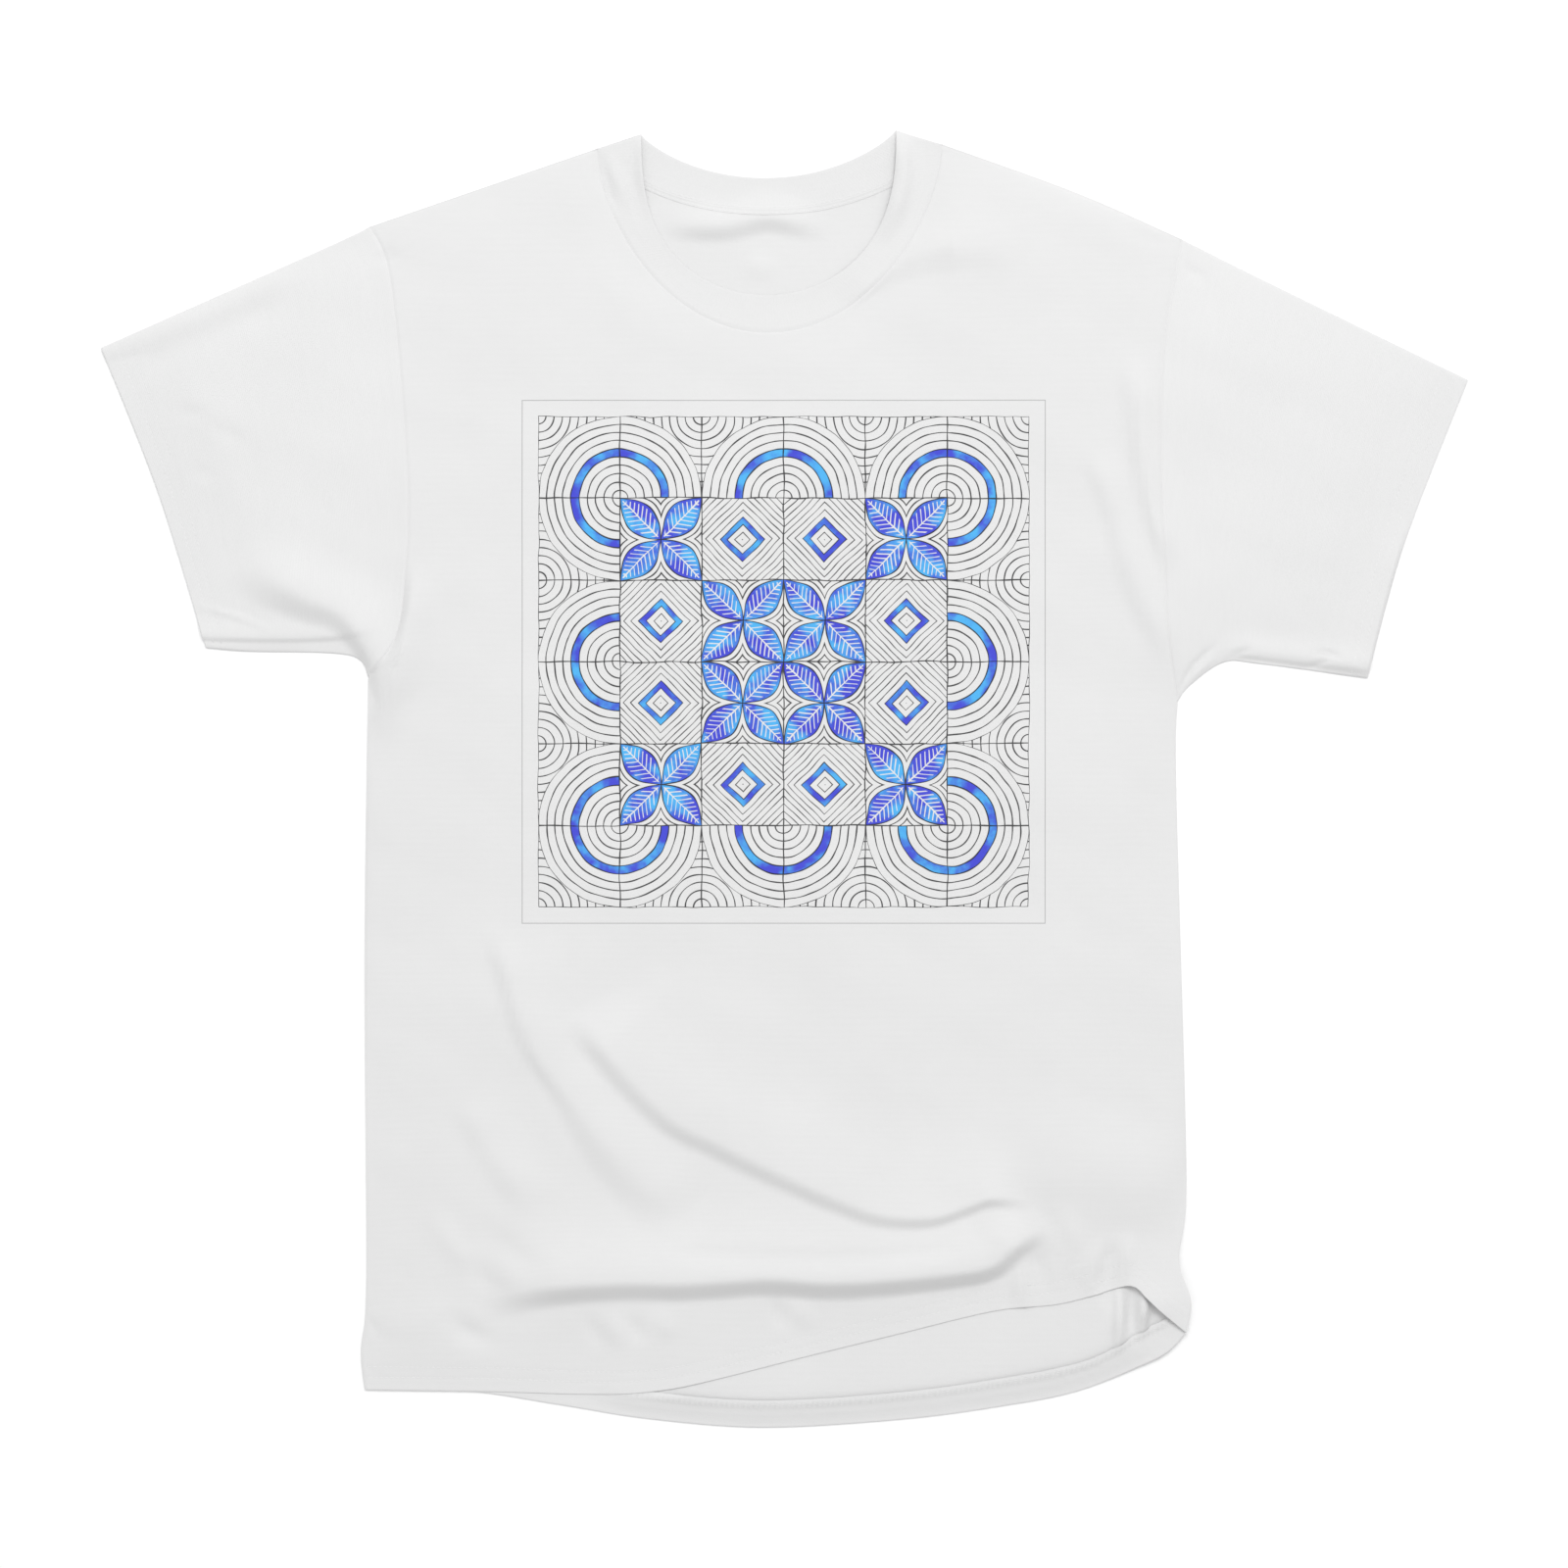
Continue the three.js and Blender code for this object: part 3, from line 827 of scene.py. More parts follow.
def knit_group():
    """Rows of V-shaped stitches of a knitted cloth, as a height, and the yarn's uneven tone."""
    wale_width, course_height, _ = JERSEY_KNIT
    tree, nodes, given, result = shader_group(
        "knit cloth",
        (("Flat", "Vector", (0, 0, 0)), ("Wale", "Float", wale_width), ("Course", "Float", course_height)),
        (("Height", "Float"), ("Tone", "Float")),
    )
    x, y, _ = nodes.split(given["Flat"])
    wale = nodes.math("DIVIDE", x, given["Wale"])
    from_middle = nodes.math("ABSOLUTE", nodes.math("SUBTRACT", nodes.math("FRACT", wale), 0.5))
    arm = nodes.math("SINE", nodes.math("MULTIPLY", from_middle, 2 * math.pi))
    slanted = nodes.math("ADD", nodes.math("DIVIDE", y, given["Course"]), from_middle)
    course = nodes.math("SINE", nodes.math("MULTIPLY", slanted, 2 * math.pi))
    loops = nodes.math("MULTIPLY", arm, nodes.math("MULTIPLY_ADD", course, COURSE_SHARE, 1 - COURSE_SHARE))
    fuzz = nodes.noise(given["Flat"], FUZZ_SCALE)
    nodes.feed(result["Height"], nodes.math("MULTIPLY_ADD", fuzz, FUZZ_SHARE, loops))
    streaks = nodes.noise(nodes.vector("MULTIPLY", given["Flat"], STREAK_SCALE), 1.0)
    clouds = nodes.noise(given["Flat"], CLOUD_SCALE)
    streak_tone = nodes.step(streaks, *TONE_RANGE, *STREAK_TONES)
    cloud_tone = nodes.step(clouds, *TONE_RANGE, *CLOUD_TONES)
    nodes.feed(result["Tone"], nodes.math("ADD", streak_tone, cloud_tone))
    return tree


def cloth_material(name, colour, surface, print_colour=None):
    """Matt soft cotton: knit relief at the cloth's own stitch size, an uneven tone, and a faint sheen from
    its fibre ends.
    """
    wale, course, bump = surface
    group = bpy.data.node_groups.get("knit cloth") or knit_group()
    material = bpy.data.materials.new(name)
    material.use_nodes = True
    nodes = Nodes(material.node_tree)
    shader = material.node_tree.nodes["Principled BSDF"]
    flat = nodes.add("ShaderNodeUVMap", uv_map="flat").outputs[0]
    knit = nodes.add("ShaderNodeGroup", node_tree=group)
    nodes.feed(knit.inputs["Flat"], flat)
    knit.inputs["Wale"].default_value = wale
    knit.inputs["Course"].default_value = course
    base = nodes.mix(1.0, (*colour, 1), knit.outputs["Tone"])
    base.node.blend_type = "MULTIPLY"
    if print_colour:
        base = print_colour(nodes, flat, base)
    nodes.feed(shader.inputs["Base Color"], base)
    height = knit.outputs["Height"]
    relief = nodes.add("ShaderNodeBump", {"Height": height, "Strength": bump, "Distance": KNIT_RELIEF})
    nodes.feed(shader.inputs["Normal"], relief.outputs[0])
    for label, value in COTTON_FINISH.items():
        shader.inputs[label].default_value = value
    return material


# The print: a square of traditional geometric tiles in ink lines and blue wash. Sizes in metres.
PRINT_CENTRE = (0.007, 0.0659)
PRINT_TILE = 0.046
PRINT_HALF_TILES = 3.0
PRINT_FRAME = 0.147
INK_HALF_LINE = 0.00034
FRAME_HALF_LINE = 0.00025
# The drawn line wanders by up to half of this, and its width follows the pen's pressure.
WOBBLE = 0.0022
WOBBLE_SCALE = 55.0
PRESSURE = (0.65, 1.35)
PRESSURE_RANGE = (0.25, 0.75)
PRESSURE_SCALE = 90.0
# Ink fades at the side of a line between these shares of its half width.
INK_EDGE = (0.8, 1.2)
# Sizes within a tile that is one wide, of petals with their veins, diamonds and fans. Counts are of the lines
# that fit in a tile.
PETAL_HALF_WIDTH = 0.18
VEIN_LEAN = 0.8
VEIN_INSET = -0.035
VEINS = 15.0
HOOPS = 17.0
DIAMONDS = 11.0
DIAMOND_WASH = (0.227, 0.045)
FANS = 10.0
FAN_WASH = (0.55, 0.05)
WASH_SCALE = 70.0
WASH_DETAIL = 3.0
WASH_RANGE = (0.34, 0.6)
# How much of the cloth's colour each part of the print covers
WASH_COVER = 0.92
FRAME_COVER = 0.4
INK_COVER = 0.94


def print_group():
    """Masks of the print: ink lines, blue wash, how deep the wash is, and the thin frame round them."""
    tree, nodes, given, result = shader_group(
        "tile print",
        (("Flat", "Vector", (0, 0, 0)),),
        (("Ink", "Float"), ("Wash", "Float"), ("Depth", "Float"), ("Frame", "Float")),
    )
    m = nodes.math
    centre = (PRINT_CENTRE[0] + UV_CENTRE, PRINT_CENTRE[1] + UV_CENTRE, 0.0)
    place = nodes.vector("SUBTRACT", given["Flat"], centre)
    noise_inputs = {"Vector": place, "Scale": WOBBLE_SCALE, "Detail": 1.0}
    chance = nodes.add("ShaderNodeTexNoise", noise_inputs).outputs[1]
    centred = nodes.vector("SUBTRACT", chance, (0.5, 0.5, 0.5))
    wobble = nodes.vector("MULTIPLY", centred, (WOBBLE, WOBBLE, 0.0))
    drawn = nodes.vector("ADD", place, wobble)

    # The four quarters mirror each other, and so does each tile the next. A tile has its own place, from 0 to
    # 1, and its number, counted from the centre.
    tiles = nodes.vector("DIVIDE", nodes.vector("ABSOLUTE", drawn), (PRINT_TILE, PRINT_TILE, 1.0))
    number_x, number_y, _ = nodes.split(nodes.vector("FLOOR", tiles))
    tile_x, tile_y, _ = nodes.split(tiles)
    x, y = m("PINGPONG", tile_x, 1.0), m("PINGPONG", tile_y, 1.0)
    inside = m("LESS_THAN", m("MAXIMUM", tile_x, tile_y), PRINT_HALF_TILES)
    kind = m("MODULO", m("ADD", m("MULTIPLY", number_x, number_y), m("ADD", number_x, number_y)), 3.0)
    is_petals = m("LESS_THAN", kind, 0.5)
    is_fans = m("GREATER_THAN", kind, 1.5)
    is_diamonds = m("SUBTRACT", m("SUBTRACT", 1.0, is_petals), is_fans)
    across = m("ABSOLUTE", m("SUBTRACT", x, 0.5))
    up = m("ABSOLUTE", m("SUBTRACT", y, 0.5))
    line = INK_HALF_LINE / PRINT_TILE
    pressure = nodes.step(nodes.noise(place, PRESSURE_SCALE), *PRESSURE_RANGE, *PRESSURE)

    def stroke(distance):
        """Ink where a distance, in tiles, is under half a line."""
        share = m("DIVIDE", m("ABSOLUTE", distance), m("MULTIPLY", pressure, line))
        return nodes.step(share, *INK_EDGE, 1.0, 0.0)

    def rings(distance, count):
        """Ink lines at even steps of a distance."""
        scaled = m("MULTIPLY", distance, count)
        off = m("SUBTRACT", m("FRACT", m("ADD", scaled, 0.5)), 0.5)
        return stroke(m("DIVIDE", off, count))

    # Petals: four leaf shapes on the diagonals, with white veins, and ink hoops between them
    along = m("MULTIPLY", m("ADD", across, up), math.sqrt(0.5))
    off = m("ABSOLUTE", m("MULTIPLY", m("SUBTRACT", across, up), math.sqrt(0.5)))
    bulge = m("SINE", m("MULTIPLY", m("DIVIDE", along, math.sqrt(0.5)), math.pi))
    petal = m("SUBTRACT", off, m("MULTIPLY", bulge, PETAL_HALF_WIDTH))
    in_petal = m("LESS_THAN", petal, 0.0)
    side_veins = rings(m("SUBTRACT", along, m("MULTIPLY", off, VEIN_LEAN)), VEINS)
    veins = m("MULTIPLY", m("MAXIMUM", stroke(off), side_veins), m("LESS_THAN", petal, VEIN_INSET))
    petal_wash = m("MULTIPLY", in_petal, m("SUBTRACT", 1.0, veins))
    hoops = m("MULTIPLY", rings(petal, HOOPS), m("SUBTRACT", 1.0, in_petal))
    petal_ink = m("MAXIMUM", stroke(petal), hoops)

    # Diamonds: one inside the other
    diamond = m("ADD", across, up)
    diamond_ink = rings(diamond, DIAMONDS)
    in_diamond = m("LESS_THAN", m("ABSOLUTE", m("SUBTRACT", diamond, DIAMOND_WASH[0])), DIAMOND_WASH[1])

    # Fans: quarter rings round two opposite corners
    near = nodes.vector("LENGTH", nodes.join(x, y)).node.outputs["Value"]
    opposite = nodes.join(m("SUBTRACT", 1.0, x), m("SUBTRACT", 1.0, y))
    far = nodes.vector("LENGTH", opposite).node.outputs["Value"]
    in_near = m("LESS_THAN", near, 1.0)
    ring = m("ADD", m("MULTIPLY", near, in_near), m("MULTIPLY", far, m("SUBTRACT", 1.0, in_near)))
    fan_ink = rings(ring, FANS)
    off_wash = m("ABSOLUTE", m("SUBTRACT", near, FAN_WASH[0]))
    in_fan = m("MULTIPLY", m("LESS_THAN", off_wash, FAN_WASH[1]), in_near)

    border = m("MINIMUM", m("MINIMUM", x, y), m("SUBTRACT", 0.5, m("MAXIMUM", across, up)))
    ink = stroke(border)
    for chosen, drawing in ((is_petals, petal_ink), (is_diamonds, diamond_ink), (is_fans, fan_ink)):
        ink = m("MAXIMUM", ink, m("MULTIPLY", chosen, drawing))
    wash = m("MULTIPLY", is_petals, petal_wash)
    wash = m("MAXIMUM", wash, m("MULTIPLY", is_diamonds, in_diamond))
    wash = m("MAXIMUM", wash, m("MULTIPLY", is_fans, in_fan))
    nodes.feed(result["Ink"], m("MULTIPLY", ink, inside))
    nodes.feed(result["Wash"], m("MULTIPLY", wash, inside))
    nodes.feed(result["Depth"], nodes.step(nodes.noise(place, WASH_SCALE, WASH_DETAIL), *WASH_RANGE))
    frame_x, frame_y, _ = nodes.split(nodes.vector("ABSOLUTE", place))
    off_frame = m("ABSOLUTE", m("SUBTRACT", m("MAXIMUM", frame_x, frame_y), PRINT_FRAME))
    nodes.feed(result["Frame"], m("LESS_THAN", off_frame, FRAME_HALF_LINE))
    return tree


def printed(nodes, flat, base):
    """The cloth's colour with the print over it."""
    looks = bpy.context.scene.shirt_looks
    tile = nodes.add("ShaderNodeGroup", node_tree=print_group())
    nodes.feed(tile.inputs["Flat"], flat)
    blue = nodes.mix(tile.outputs["Depth"], (*looks.light_blue, 1), (*looks.deep_blue, 1))
    washed = nodes.mix(nodes.math("MULTIPLY", tile.outputs["Wash"], WASH_COVER), base, blue)
    framed = nodes.mix(nodes.math("MULTIPLY", tile.outputs["Frame"], FRAME_COVER), washed, (*looks.ink, 1))
    return nodes.mix(nodes.math("MULTIPLY", tile.outputs["Ink"], INK_COVER), framed, (*looks.ink, 1))


def jersey_material():
    looks = bpy.context.scene.shirt_looks
    ready = bpy.data.materials.get("plain jersey")
    return ready or cloth_material("plain jersey", looks.cotton, JERSEY_KNIT)


def thread_material():
    looks = bpy.context.scene.shirt_looks
    ready = bpy.data.materials.get("sewing thread")
    return ready or cloth_material("sewing thread", looks.thread, THREAD_TWIST)


# Pieces

# Sizes, in millimetres, of the turned hems and of the steps of a panel's mesh
HEM_GAP = 0.8
EDGE_CURL = 1.5
CURL_RISE = (5.6, 0.8)
CURL_FROM_HEM = (1, 6)
FINE = 0.8
COLUMN = 3.2
CORNER_COLUMN = 1.3
SEAM_BAND = 6.4
HEM_BAND = 22.4
# Steps up a panel past its hem, as (where the zone ends, step). They are fine where the cloth folds.
BACK_STEPS = ((80, 2.5), (560, 8.0), (600, 2.0))
FRONT_STEPS = ((250, 1.8), (600, 4.2))
# Share of a panel's top edge that each shoulder takes
SHOULDER = 1 / 6
# How much wider the turned hem gets towards the lower right corner, and over which shares of the way across
CORNER_WIDENING = 0.45
CORNER_SHARES = (0.86, 0.97)


def hem_gap(p, from_edge, widening):
    """Gap between the faces of a turned hem. Its raw edge curls up where the other layer doesn't lie on
    it."""
    depth = bpy.context.scene.shirt_cloth.hem_depth / MM * widening
    distance, side, _ = front_hem.nearest(p)
    bare = smoothstep(-distance * side, *CURL_FROM_HEM)
    curl = smoothstep(from_edge - depth, -CURL_RISE[0], -CURL_RISE[1])
    return HEM_GAP + EDGE_CURL * bare * curl


def body_panel(name, hem, neck_seam, steps, upward):
    """Front or back panel, with its hem turned under. steps are the zones up the panel past the hem, as for
    spacing. Returns the piece and the grids that its stitches follow."""
    cloth = bpy.context.scene.shirt_cloth
    side_length = (left_side.length + right_side.length) / 2
    armhole_length = (left_armhole.length + right_armhole.length) / 2
    height = side_length + armhole_length
    side = side_length / height
    plan = patch(
        edge((hem, 1)),
        edge((left_shoulder, SHOULDER), (neck_seam, 1 - 2 * SHOULDER), (right_shoulder, SHOULDER)),
        edge((left_side, side), (left_armhole, 1 - side)),
        edge((right_side, side), (right_armhole, 1 - side)),
        reach=SHOULDER,
    )
    width = hem.length
    across = spacing(
        width, (SEAM_BAND, FINE), (width * SHOULDER, COLUMN), (width * (1 - SHOULDER), COLUMN),
        (width - SEAM_BAND, COLUMN if upward else CORNER_COLUMN), (width, FINE),
    )
    if not upward:
        across = across[::-1]
    up = spacing(height, (HEM_BAND, FINE), *steps, (height - SEAM_BAND, steps[-1][1]), (height, FINE))
    u, v = np.meshgrid(across, up)
    p = plan(u, v).reshape(-1, 2)
    from_edge = v.ravel() * height
    relief = hem_relief(from_edge, u.ravel() * hem.length)
    for line in (left_armhole, right_armhole, neck_seam):
        relief += seam_relief(p, line)
    relief *= rounded(from_joined_edge(p), RELIEF_FADE)
    doubled = layered(p, front_hem, back_hem)
    z = front_height(p, doubled, relief) if upward else np.maximum(back_height(p, doubled) - relief, 0)
    outer = np.column_stack([p, z]).reshape(*u.shape, 3)
    widening = 1 + CORNER_WIDENING * smoothstep(u, *CORNER_SHARES)
    gap = hem_gap(p, from_edge, widening.ravel()).reshape(u.shape)
    turned = turned_under(outer, round(cloth.hem_depth / MM / FINE) + 1, gap, False, widening[0])
    grid = np.concatenate([turned, outer])
    material = jersey_material()
    if upward:
        looks = bpy.context.scene.shirt_looks
        material = cloth_material("printed jersey", looks.cotton, JERSEY_KNIT, printed)
    piece = sheet_object(name, grid, grid[:, :, :2], material)
    thicken(piece, cloth.thickness)
    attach(piece, "root")
    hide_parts(name)
    return piece, outer, turned


def needle_rows(grid, closed, rows=NEEDLE_ROWS):
    """Points and normals along the rows of a grid that lie at these distances from its first edge."""
    normal = normals_of(grid, closed)
    picked = [round(row / FINE) for row in rows]
    return [(grid[i], normal[i], 0.0) for i in picked]


# Rows of looped thread over a raw edge, as (distance from the hem's fold, slant)
EDGE_LOOPS = ((12.8, 0.9), (12.0, 1.2), (11.2, 1.2), (10.4, 0.9))


def loop_rows(turned):
    """The looped thread that covers the raw edge of a turned hem on the inside."""
    normal = normals_of(turned, False)
    at_fold = len(turned) - FOLD_STEPS
    picked = [(at_fold - round(from_fold / FINE), slant) for from_fold, slant in EDGE_LOOPS]
    return [(turned[row], normal[row], slant) for row, slant in picked]


class SHIRT_OT_back_panel(bpy.types.Operator):
    """Add the back panel, its turned hem and the hem's stitches"""

    bl_idname = "shirt.back_panel"
    bl_label = "Back panel"

    def execute(self, context):
        panel, outer, turned = body_panel("back_panel", back_hem, back_neck_seam, BACK_STEPS, False)
        panel.name = "back_cloth"
        rows = needle_rows(outer, False) + loop_rows(turned)
        stitches = stitch_object("back_hem_stitches", rows, thread_material())
        return {"FINISHED"}


class SHIRT_OT_front_panel(bpy.types.Operator):
    """Add the printed front panel, its folds, its turned hem and the hem's stitches"""

    bl_idname = "shirt.front_panel"
    bl_label = "Front panel"

    def execute(self, context):
        panel, outer, _ = body_panel("front_panel", front_hem, front_neck_seam, FRONT_STEPS, True)
        panel.name = "front_cloth"
        stitches = stitch_object("front_hem_stitches", needle_rows(outer, False), thread_material())
        return {"FINISHED"}


# Columns of one layer of a sleeve, and the step along it in millimetres
SLEEVE_COLUMNS = 96
SLEEVE_STEP = 2.2


def sleeve(name, cuff, armhole, top, under):
    """One sleeve: a flattened tube of cloth, with its cuff turned under."""
    cloth = bpy.context.scene.shirt_cloth
    length = (top.length + under.length) / 2
    plan = patch(edge((cuff, 1)), lambda t: armhole.at(1 - t), edge((top, 1)), edge((under, 1)))
    turn = np.linspace(0, 2 * math.pi, 2 * SLEEVE_COLUMNS + 1)
    along = spacing(length, (HEM_BAND, FINE), (length - SEAM_BAND, SLEEVE_STEP), (length, FINE))
    across, v = np.meshgrid((1 - np.cos(turn)) / 2, along)
    upper = np.broadcast_to(np.sin(turn) >= 0, v.shape).ravel()
    p = plan(across, v).reshape(-1, 2)
    relief = hem_relief(v.ravel() * length, across.ravel() * cuff.length) + seam_relief(p, armhole, ALLOWANCE)
    relief *= rounded(from_joined_edge(p), RELIEF_FADE)
    doubled = layered(p, cuff, cuff)
    z = np.where(upper, front_height(p, doubled, relief), np.maximum(back_height(p, doubled) - relief, 0))
    outer = np.column_stack([p, z]).reshape(*v.shape, 3)
    if normals_of(outer, True)[len(along) // 2, SLEEVE_COLUMNS // 2, 2] < 0:
        outer = outer[:, ::-1]
    turned = turned_under(outer, round(cloth.hem_depth / MM / FINE) + 1, HEM_GAP, True)
    grid = np.concatenate([turned, outer, tucked(outer, True)])
    piece = sheet_object(name, grid, flat_lengths(grid), jersey_material(), closed=True)
    thicken(piece, cloth.thickness)
    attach(piece, "root")
    stitches = stitch_object(name.replace("cloth", "stitches"), needle_rows(outer, True), thread_material())
    return piece


class SHIRT_OT_sleeves(bpy.types.Operator):
    """Add both sleeves, with their turned cuffs and stitches"""

    bl_idname = "shirt.sleeves"
    bl_label = "Sleeves"

    def execute(self, context):
        left = sleeve("left_sleeve_cloth", left_cuff, left_armhole, left_top, left_under)
        right = sleeve("right_sleeve_cloth", right_cuff, right_armhole, right_top, right_under)
        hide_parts("left_sleeve")
        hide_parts("right_sleeve")
        return {"FINISHED"}


# The collar's mesh, and the distance from its seam over which it gets as thick as the rib
NECK_SAMPLES = 1001
COLUMNS_PER_RIB = 4
COLLAR_ROWS = 14
COLLAR_EASE = 12.0


class SHIRT_OT_collar(bpy.types.Operator):
    """Add the rib collar, a band folded double round the neck"""

    bl_idname = "shirt.collar"
    bl_label = "Collar"

    def execute(self, context):
        cloth = context.scene.shirt_cloth
        shares = np.linspace(0, 1, NECK_SAMPLES)
        front = front_neck_seam.at(shares) + front_neck_edge.at(shares)
        back = back_neck_seam.at(shares[::-1]) + back_neck_edge.at(shares[::-1])
        middle = np.vstack([front, back[1:]]) / 2
        lengths = np.concatenate([[0], np.cumsum(np.linalg.norm(np.diff(middle, axis=0), axis=1))])
        ribs = round(lengths[-1] * MM / cloth.rib_pitch)
        column = np.arange(ribs * COLUMNS_PER_RIB + 1)
        turn = np.interp(column / column[-1] * lengths[-1], lengths, np.concatenate([shares, 1 + shares[1:]]))
        share = np.where(turn <= 1, turn, 2 - turn)
        upper = turn <= 1

        down = np.linspace(0, 1, COLLAR_ROWS)[:, None, None]
        seam = np.where(upper[:, None], front_neck_seam.at(share), back_neck_seam.at(share))
        rim = np.where(upper[:, None], front_neck_edge.at(share), back_neck_edge.at(share))
        plan = rim * (1 - down) + seam * down
        p = plan.reshape(-1, 2)
        from_seam = ((1 - down) * np.linalg.norm(rim - seam, axis=1)[:, None]).ravel()
        doubled = JERSEY_DOUBLED + RIB_EXTRA * smoothstep(from_seam, 0, COLLAR_EASE)
        relief = -SEAM_GROOVE * bell(from_seam, SEAM_WIDTH) * rounded(from_joined_edge(p), RELIEF_FADE)
        z = np.where(np.tile(upper, COLLAR_ROWS), front_height(p, doubled, relief), back_height(p, doubled))
        outer = np.column_stack([p, z]).reshape(COLLAR_ROWS, len(column), 3)
        if normals_of(outer, True)[COLLAR_ROWS // 2, len(column) // 4, 2] < 0:
            outer = outer[:, ::-1]
        rib = (np.cos(2 * math.pi * column / COLUMNS_PER_RIB) - 1) / 2 * cloth.rib_depth / MM
        outer = outer + normals_of(outer, True) * rib[:, None]
        turned = turned_under(outer, COLLAR_ROWS, cloth.rib_thickness / MM, True)
        grid = np.concatenate([turned, outer, tucked(outer, True), turned[:1]])
        looks = context.scene.shirt_looks
        material = cloth_material("cotton rib", looks.rib, RIB_KNIT)
        piece = sheet_object("collar_band", grid, flat_lengths(grid), material, closed=True, ring=True)
        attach(piece, "root")
        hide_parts("collar")
        return {"FINISHED"}


# The tape stops short of the shoulders by a share of the seam. Its needle rows are shares of its width.
TAPE_END = 0.12
TAPE_BELOW_SEAM = 3.0
TAPE_ABOVE_SEAM = 2.0
TAPE_COLUMNS = 140
TAPE_ROWS = 16
TAPE_NEEDLE_ROWS = (0.2, 0.8)
TAPE_DIMPLE = 0.08
TAPE_DIMPLE_WIDTH = 0.07
TAPE_THICKNESS = 0.25
TAPE_CLEARANCE = 0.05


class SHIRT_OT_neck_tape(bpy.types.Operator):
    """Add the tape over the back neck seam, with its two rows of stitches"""

    bl_idname = "shirt.neck_tape"
    bl_label = "Neck tape"

    def execute(self, context):
        cloth = context.scene.shirt_cloth
        along = np.linspace(TAPE_END, 1 - TAPE_END, TAPE_COLUMNS)
        share, up = np.meshgrid(along, np.linspace(0, 1, TAPE_ROWS))
        plan = back_neck_seam.at(share)
        above = up * (TAPE_BELOW_SEAM + TAPE_ABOVE_SEAM) - TAPE_BELOW_SEAM
        plan[..., 1] += above
        p = plan.reshape(-1, 2)
        on_rib = smoothstep(above, -TAPE_BELOW_SEAM, TAPE_ABOVE_SEAM)
        under = cloth.thickness + (cloth.rib_thickness - cloth.thickness) * on_rib
        sunk = TAPE_DIMPLE * sum(bell(up - row, TAPE_DIMPLE_WIDTH) for row in TAPE_NEEDLE_ROWS)
        z = back_height(p, JERSEY_DOUBLED) + (under / MM - sunk).ravel() + TAPE_THICKNESS + TAPE_CLEARANCE
        grid = np.column_stack([p, z]).reshape(*share.shape, 3)
        looks = context.scene.shirt_looks
        material = cloth_material("twill tape", looks.tape, TAPE_WEAVE)
        piece = sheet_object("neck_tape_strip", grid, flat_lengths(grid), material)
        thicken(piece, TAPE_THICKNESS * MM)
        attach(piece, "root")
        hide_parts("neck_tape")
        normal = normals_of(grid, False)
        picked = [round(row * (TAPE_ROWS - 1)) for row in TAPE_NEEDLE_ROWS]
        stitch_object("tape_stitches", [(grid[i], normal[i], 0.0) for i in picked], thread_material())
        return {"FINISHED"}


# The stage, in metres. The camera looks straight down at a point of the floor.
FLOOR_HALF = 4.0
FLOOR_LEVEL = -0.0003
FLOOR_FINISH = {"Roughness": 0.9, "Specular IOR Level": 0.1}
KEY_SIZE = (2.4, 1.6)
KEY_PLACE = (0.37, 2.09, 3.39)
SENSOR_WIDTH = 36.0
CAMERA_REACH = 20.0
VIEW_CENTRE = (0.0072, -0.0028)
VIEW_LEVEL = 0.008


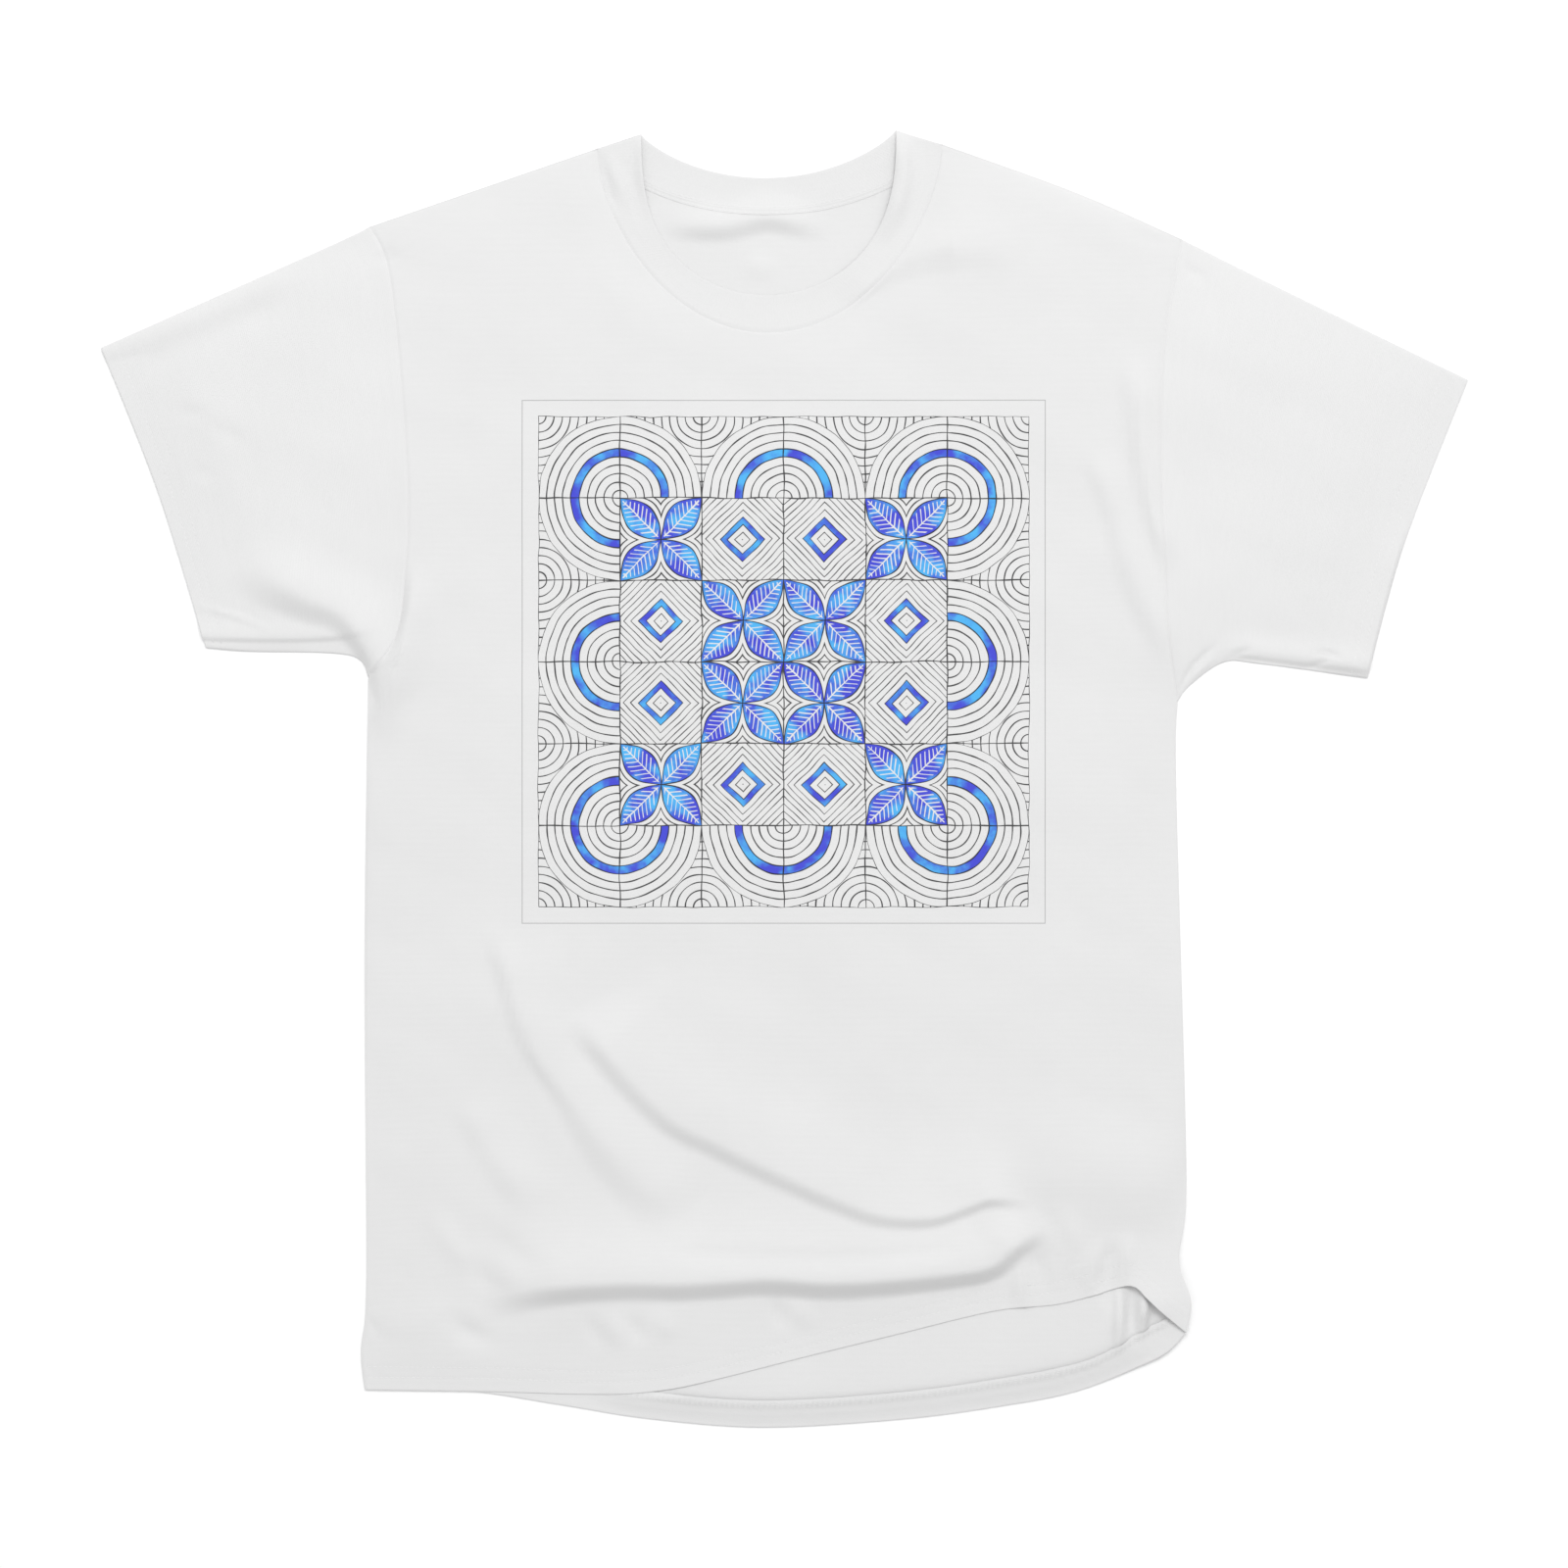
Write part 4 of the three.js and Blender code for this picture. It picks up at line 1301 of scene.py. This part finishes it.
class SHIRT_OT_stage(bpy.types.Operator):
    """Add the floor, the light and the camera"""

    bl_idname = "shirt.stage"
    bl_label = "Stage"

    def execute(self, context):
        settings = context.scene.shirt_stage
        bm = bmesh.new()
        bmesh.ops.create_grid(bm, x_segments=1, y_segments=1, size=FLOOR_HALF)
        mesh = bpy.data.meshes.new("floor")
        bm.to_mesh(mesh)
        bm.free()
        mesh.transform(Matrix.Translation((0, 0, FLOOR_LEVEL)))
        floor = bpy.data.objects.new("floor", mesh)
        context.scene.collection.objects.link(floor)
        paint = bpy.data.materials.new("floor")
        paint.use_nodes = True
        shader = paint.node_tree.nodes["Principled BSDF"]
        shader.inputs["Base Color"].default_value = (*settings.floor, 1)
        for label, value in FLOOR_FINISH.items():
            shader.inputs[label].default_value = value
        mesh.materials.append(paint)

        world = bpy.data.worlds.new("studio")
        world.use_nodes = True
        sky = world.node_tree.nodes["Background"]
        sky.inputs["Color"].default_value = (1, 1, 1, 1)
        sky.inputs["Strength"].default_value = settings.sky
        context.scene.world = world
        key = bpy.data.lights.new("key", "AREA")
        key.energy = settings.key
        key.shape = "RECTANGLE"
        key.size, key.size_y = KEY_SIZE
        lamp = bpy.data.objects.new("key", key)
        lamp.location = KEY_PLACE
        lamp.rotation_mode = "QUATERNION"
        lamp.rotation_quaternion = (-lamp.location).to_track_quat("-Z", "Y")
        context.scene.collection.objects.link(lamp)

        lens = bpy.data.cameras.new("camera")
        lens.lens = settings.lens
        lens.sensor_width = SENSOR_WIDTH
        lens.clip_end = CAMERA_REACH
        camera = bpy.data.objects.new("camera", lens)
        distance = settings.view_width * settings.lens / SENSOR_WIDTH
        camera.location = (*VIEW_CENTRE, distance + VIEW_LEVEL)
        context.scene.collection.objects.link(camera)
        context.scene.camera = camera
        context.scene.view_settings.view_transform = "Standard"
        return {"FINISHED"}


class SHIRT_PT_panel(bpy.types.Panel):
    """Buttons and settings of the shirt"""

    bl_idname = "SHIRT_PT_panel"
    bl_label = "T-shirt"
    bl_space_type = "VIEW_3D"
    bl_region_type = "UI"
    bl_category = "T-shirt"

    def draw(self, context):
        layout = self.layout
        for operator in OPERATORS:
            layout.operator(operator.bl_idname)
        for settings in (context.scene.shirt_cloth, context.scene.shirt_looks, context.scene.shirt_stage):
            box = layout.box()
            for name in settings.__annotations__:
                box.prop(settings, name)


SETTINGS = {"shirt_cloth": ShirtCloth, "shirt_looks": ShirtLooks, "shirt_stage": ShirtStage}
OPERATORS = (
    SHIRT_OT_stage, SHIRT_OT_back_panel, SHIRT_OT_front_panel, SHIRT_OT_sleeves, SHIRT_OT_neck_tape,
    SHIRT_OT_collar,
)


def register():
    for kind in (*SETTINGS.values(), *OPERATORS, SHIRT_PT_panel):
        bpy.utils.register_class(kind)
    for name, kind in SETTINGS.items():
        setattr(bpy.types.Scene, name, PointerProperty(type=kind))


def unregister():
    for name in SETTINGS:
        delattr(bpy.types.Scene, name)
    for kind in (SHIRT_PT_panel, *reversed(OPERATORS), *SETTINGS.values()):
        bpy.utils.unregister_class(kind)


def main():
    register()
    bpy.ops.shirt.stage()
    bpy.ops.shirt.back_panel()
    bpy.ops.shirt.front_panel()
    bpy.ops.shirt.sleeves()
    bpy.ops.shirt.neck_tape()
    bpy.ops.shirt.collar()


if __name__ == "__main__":
    main()
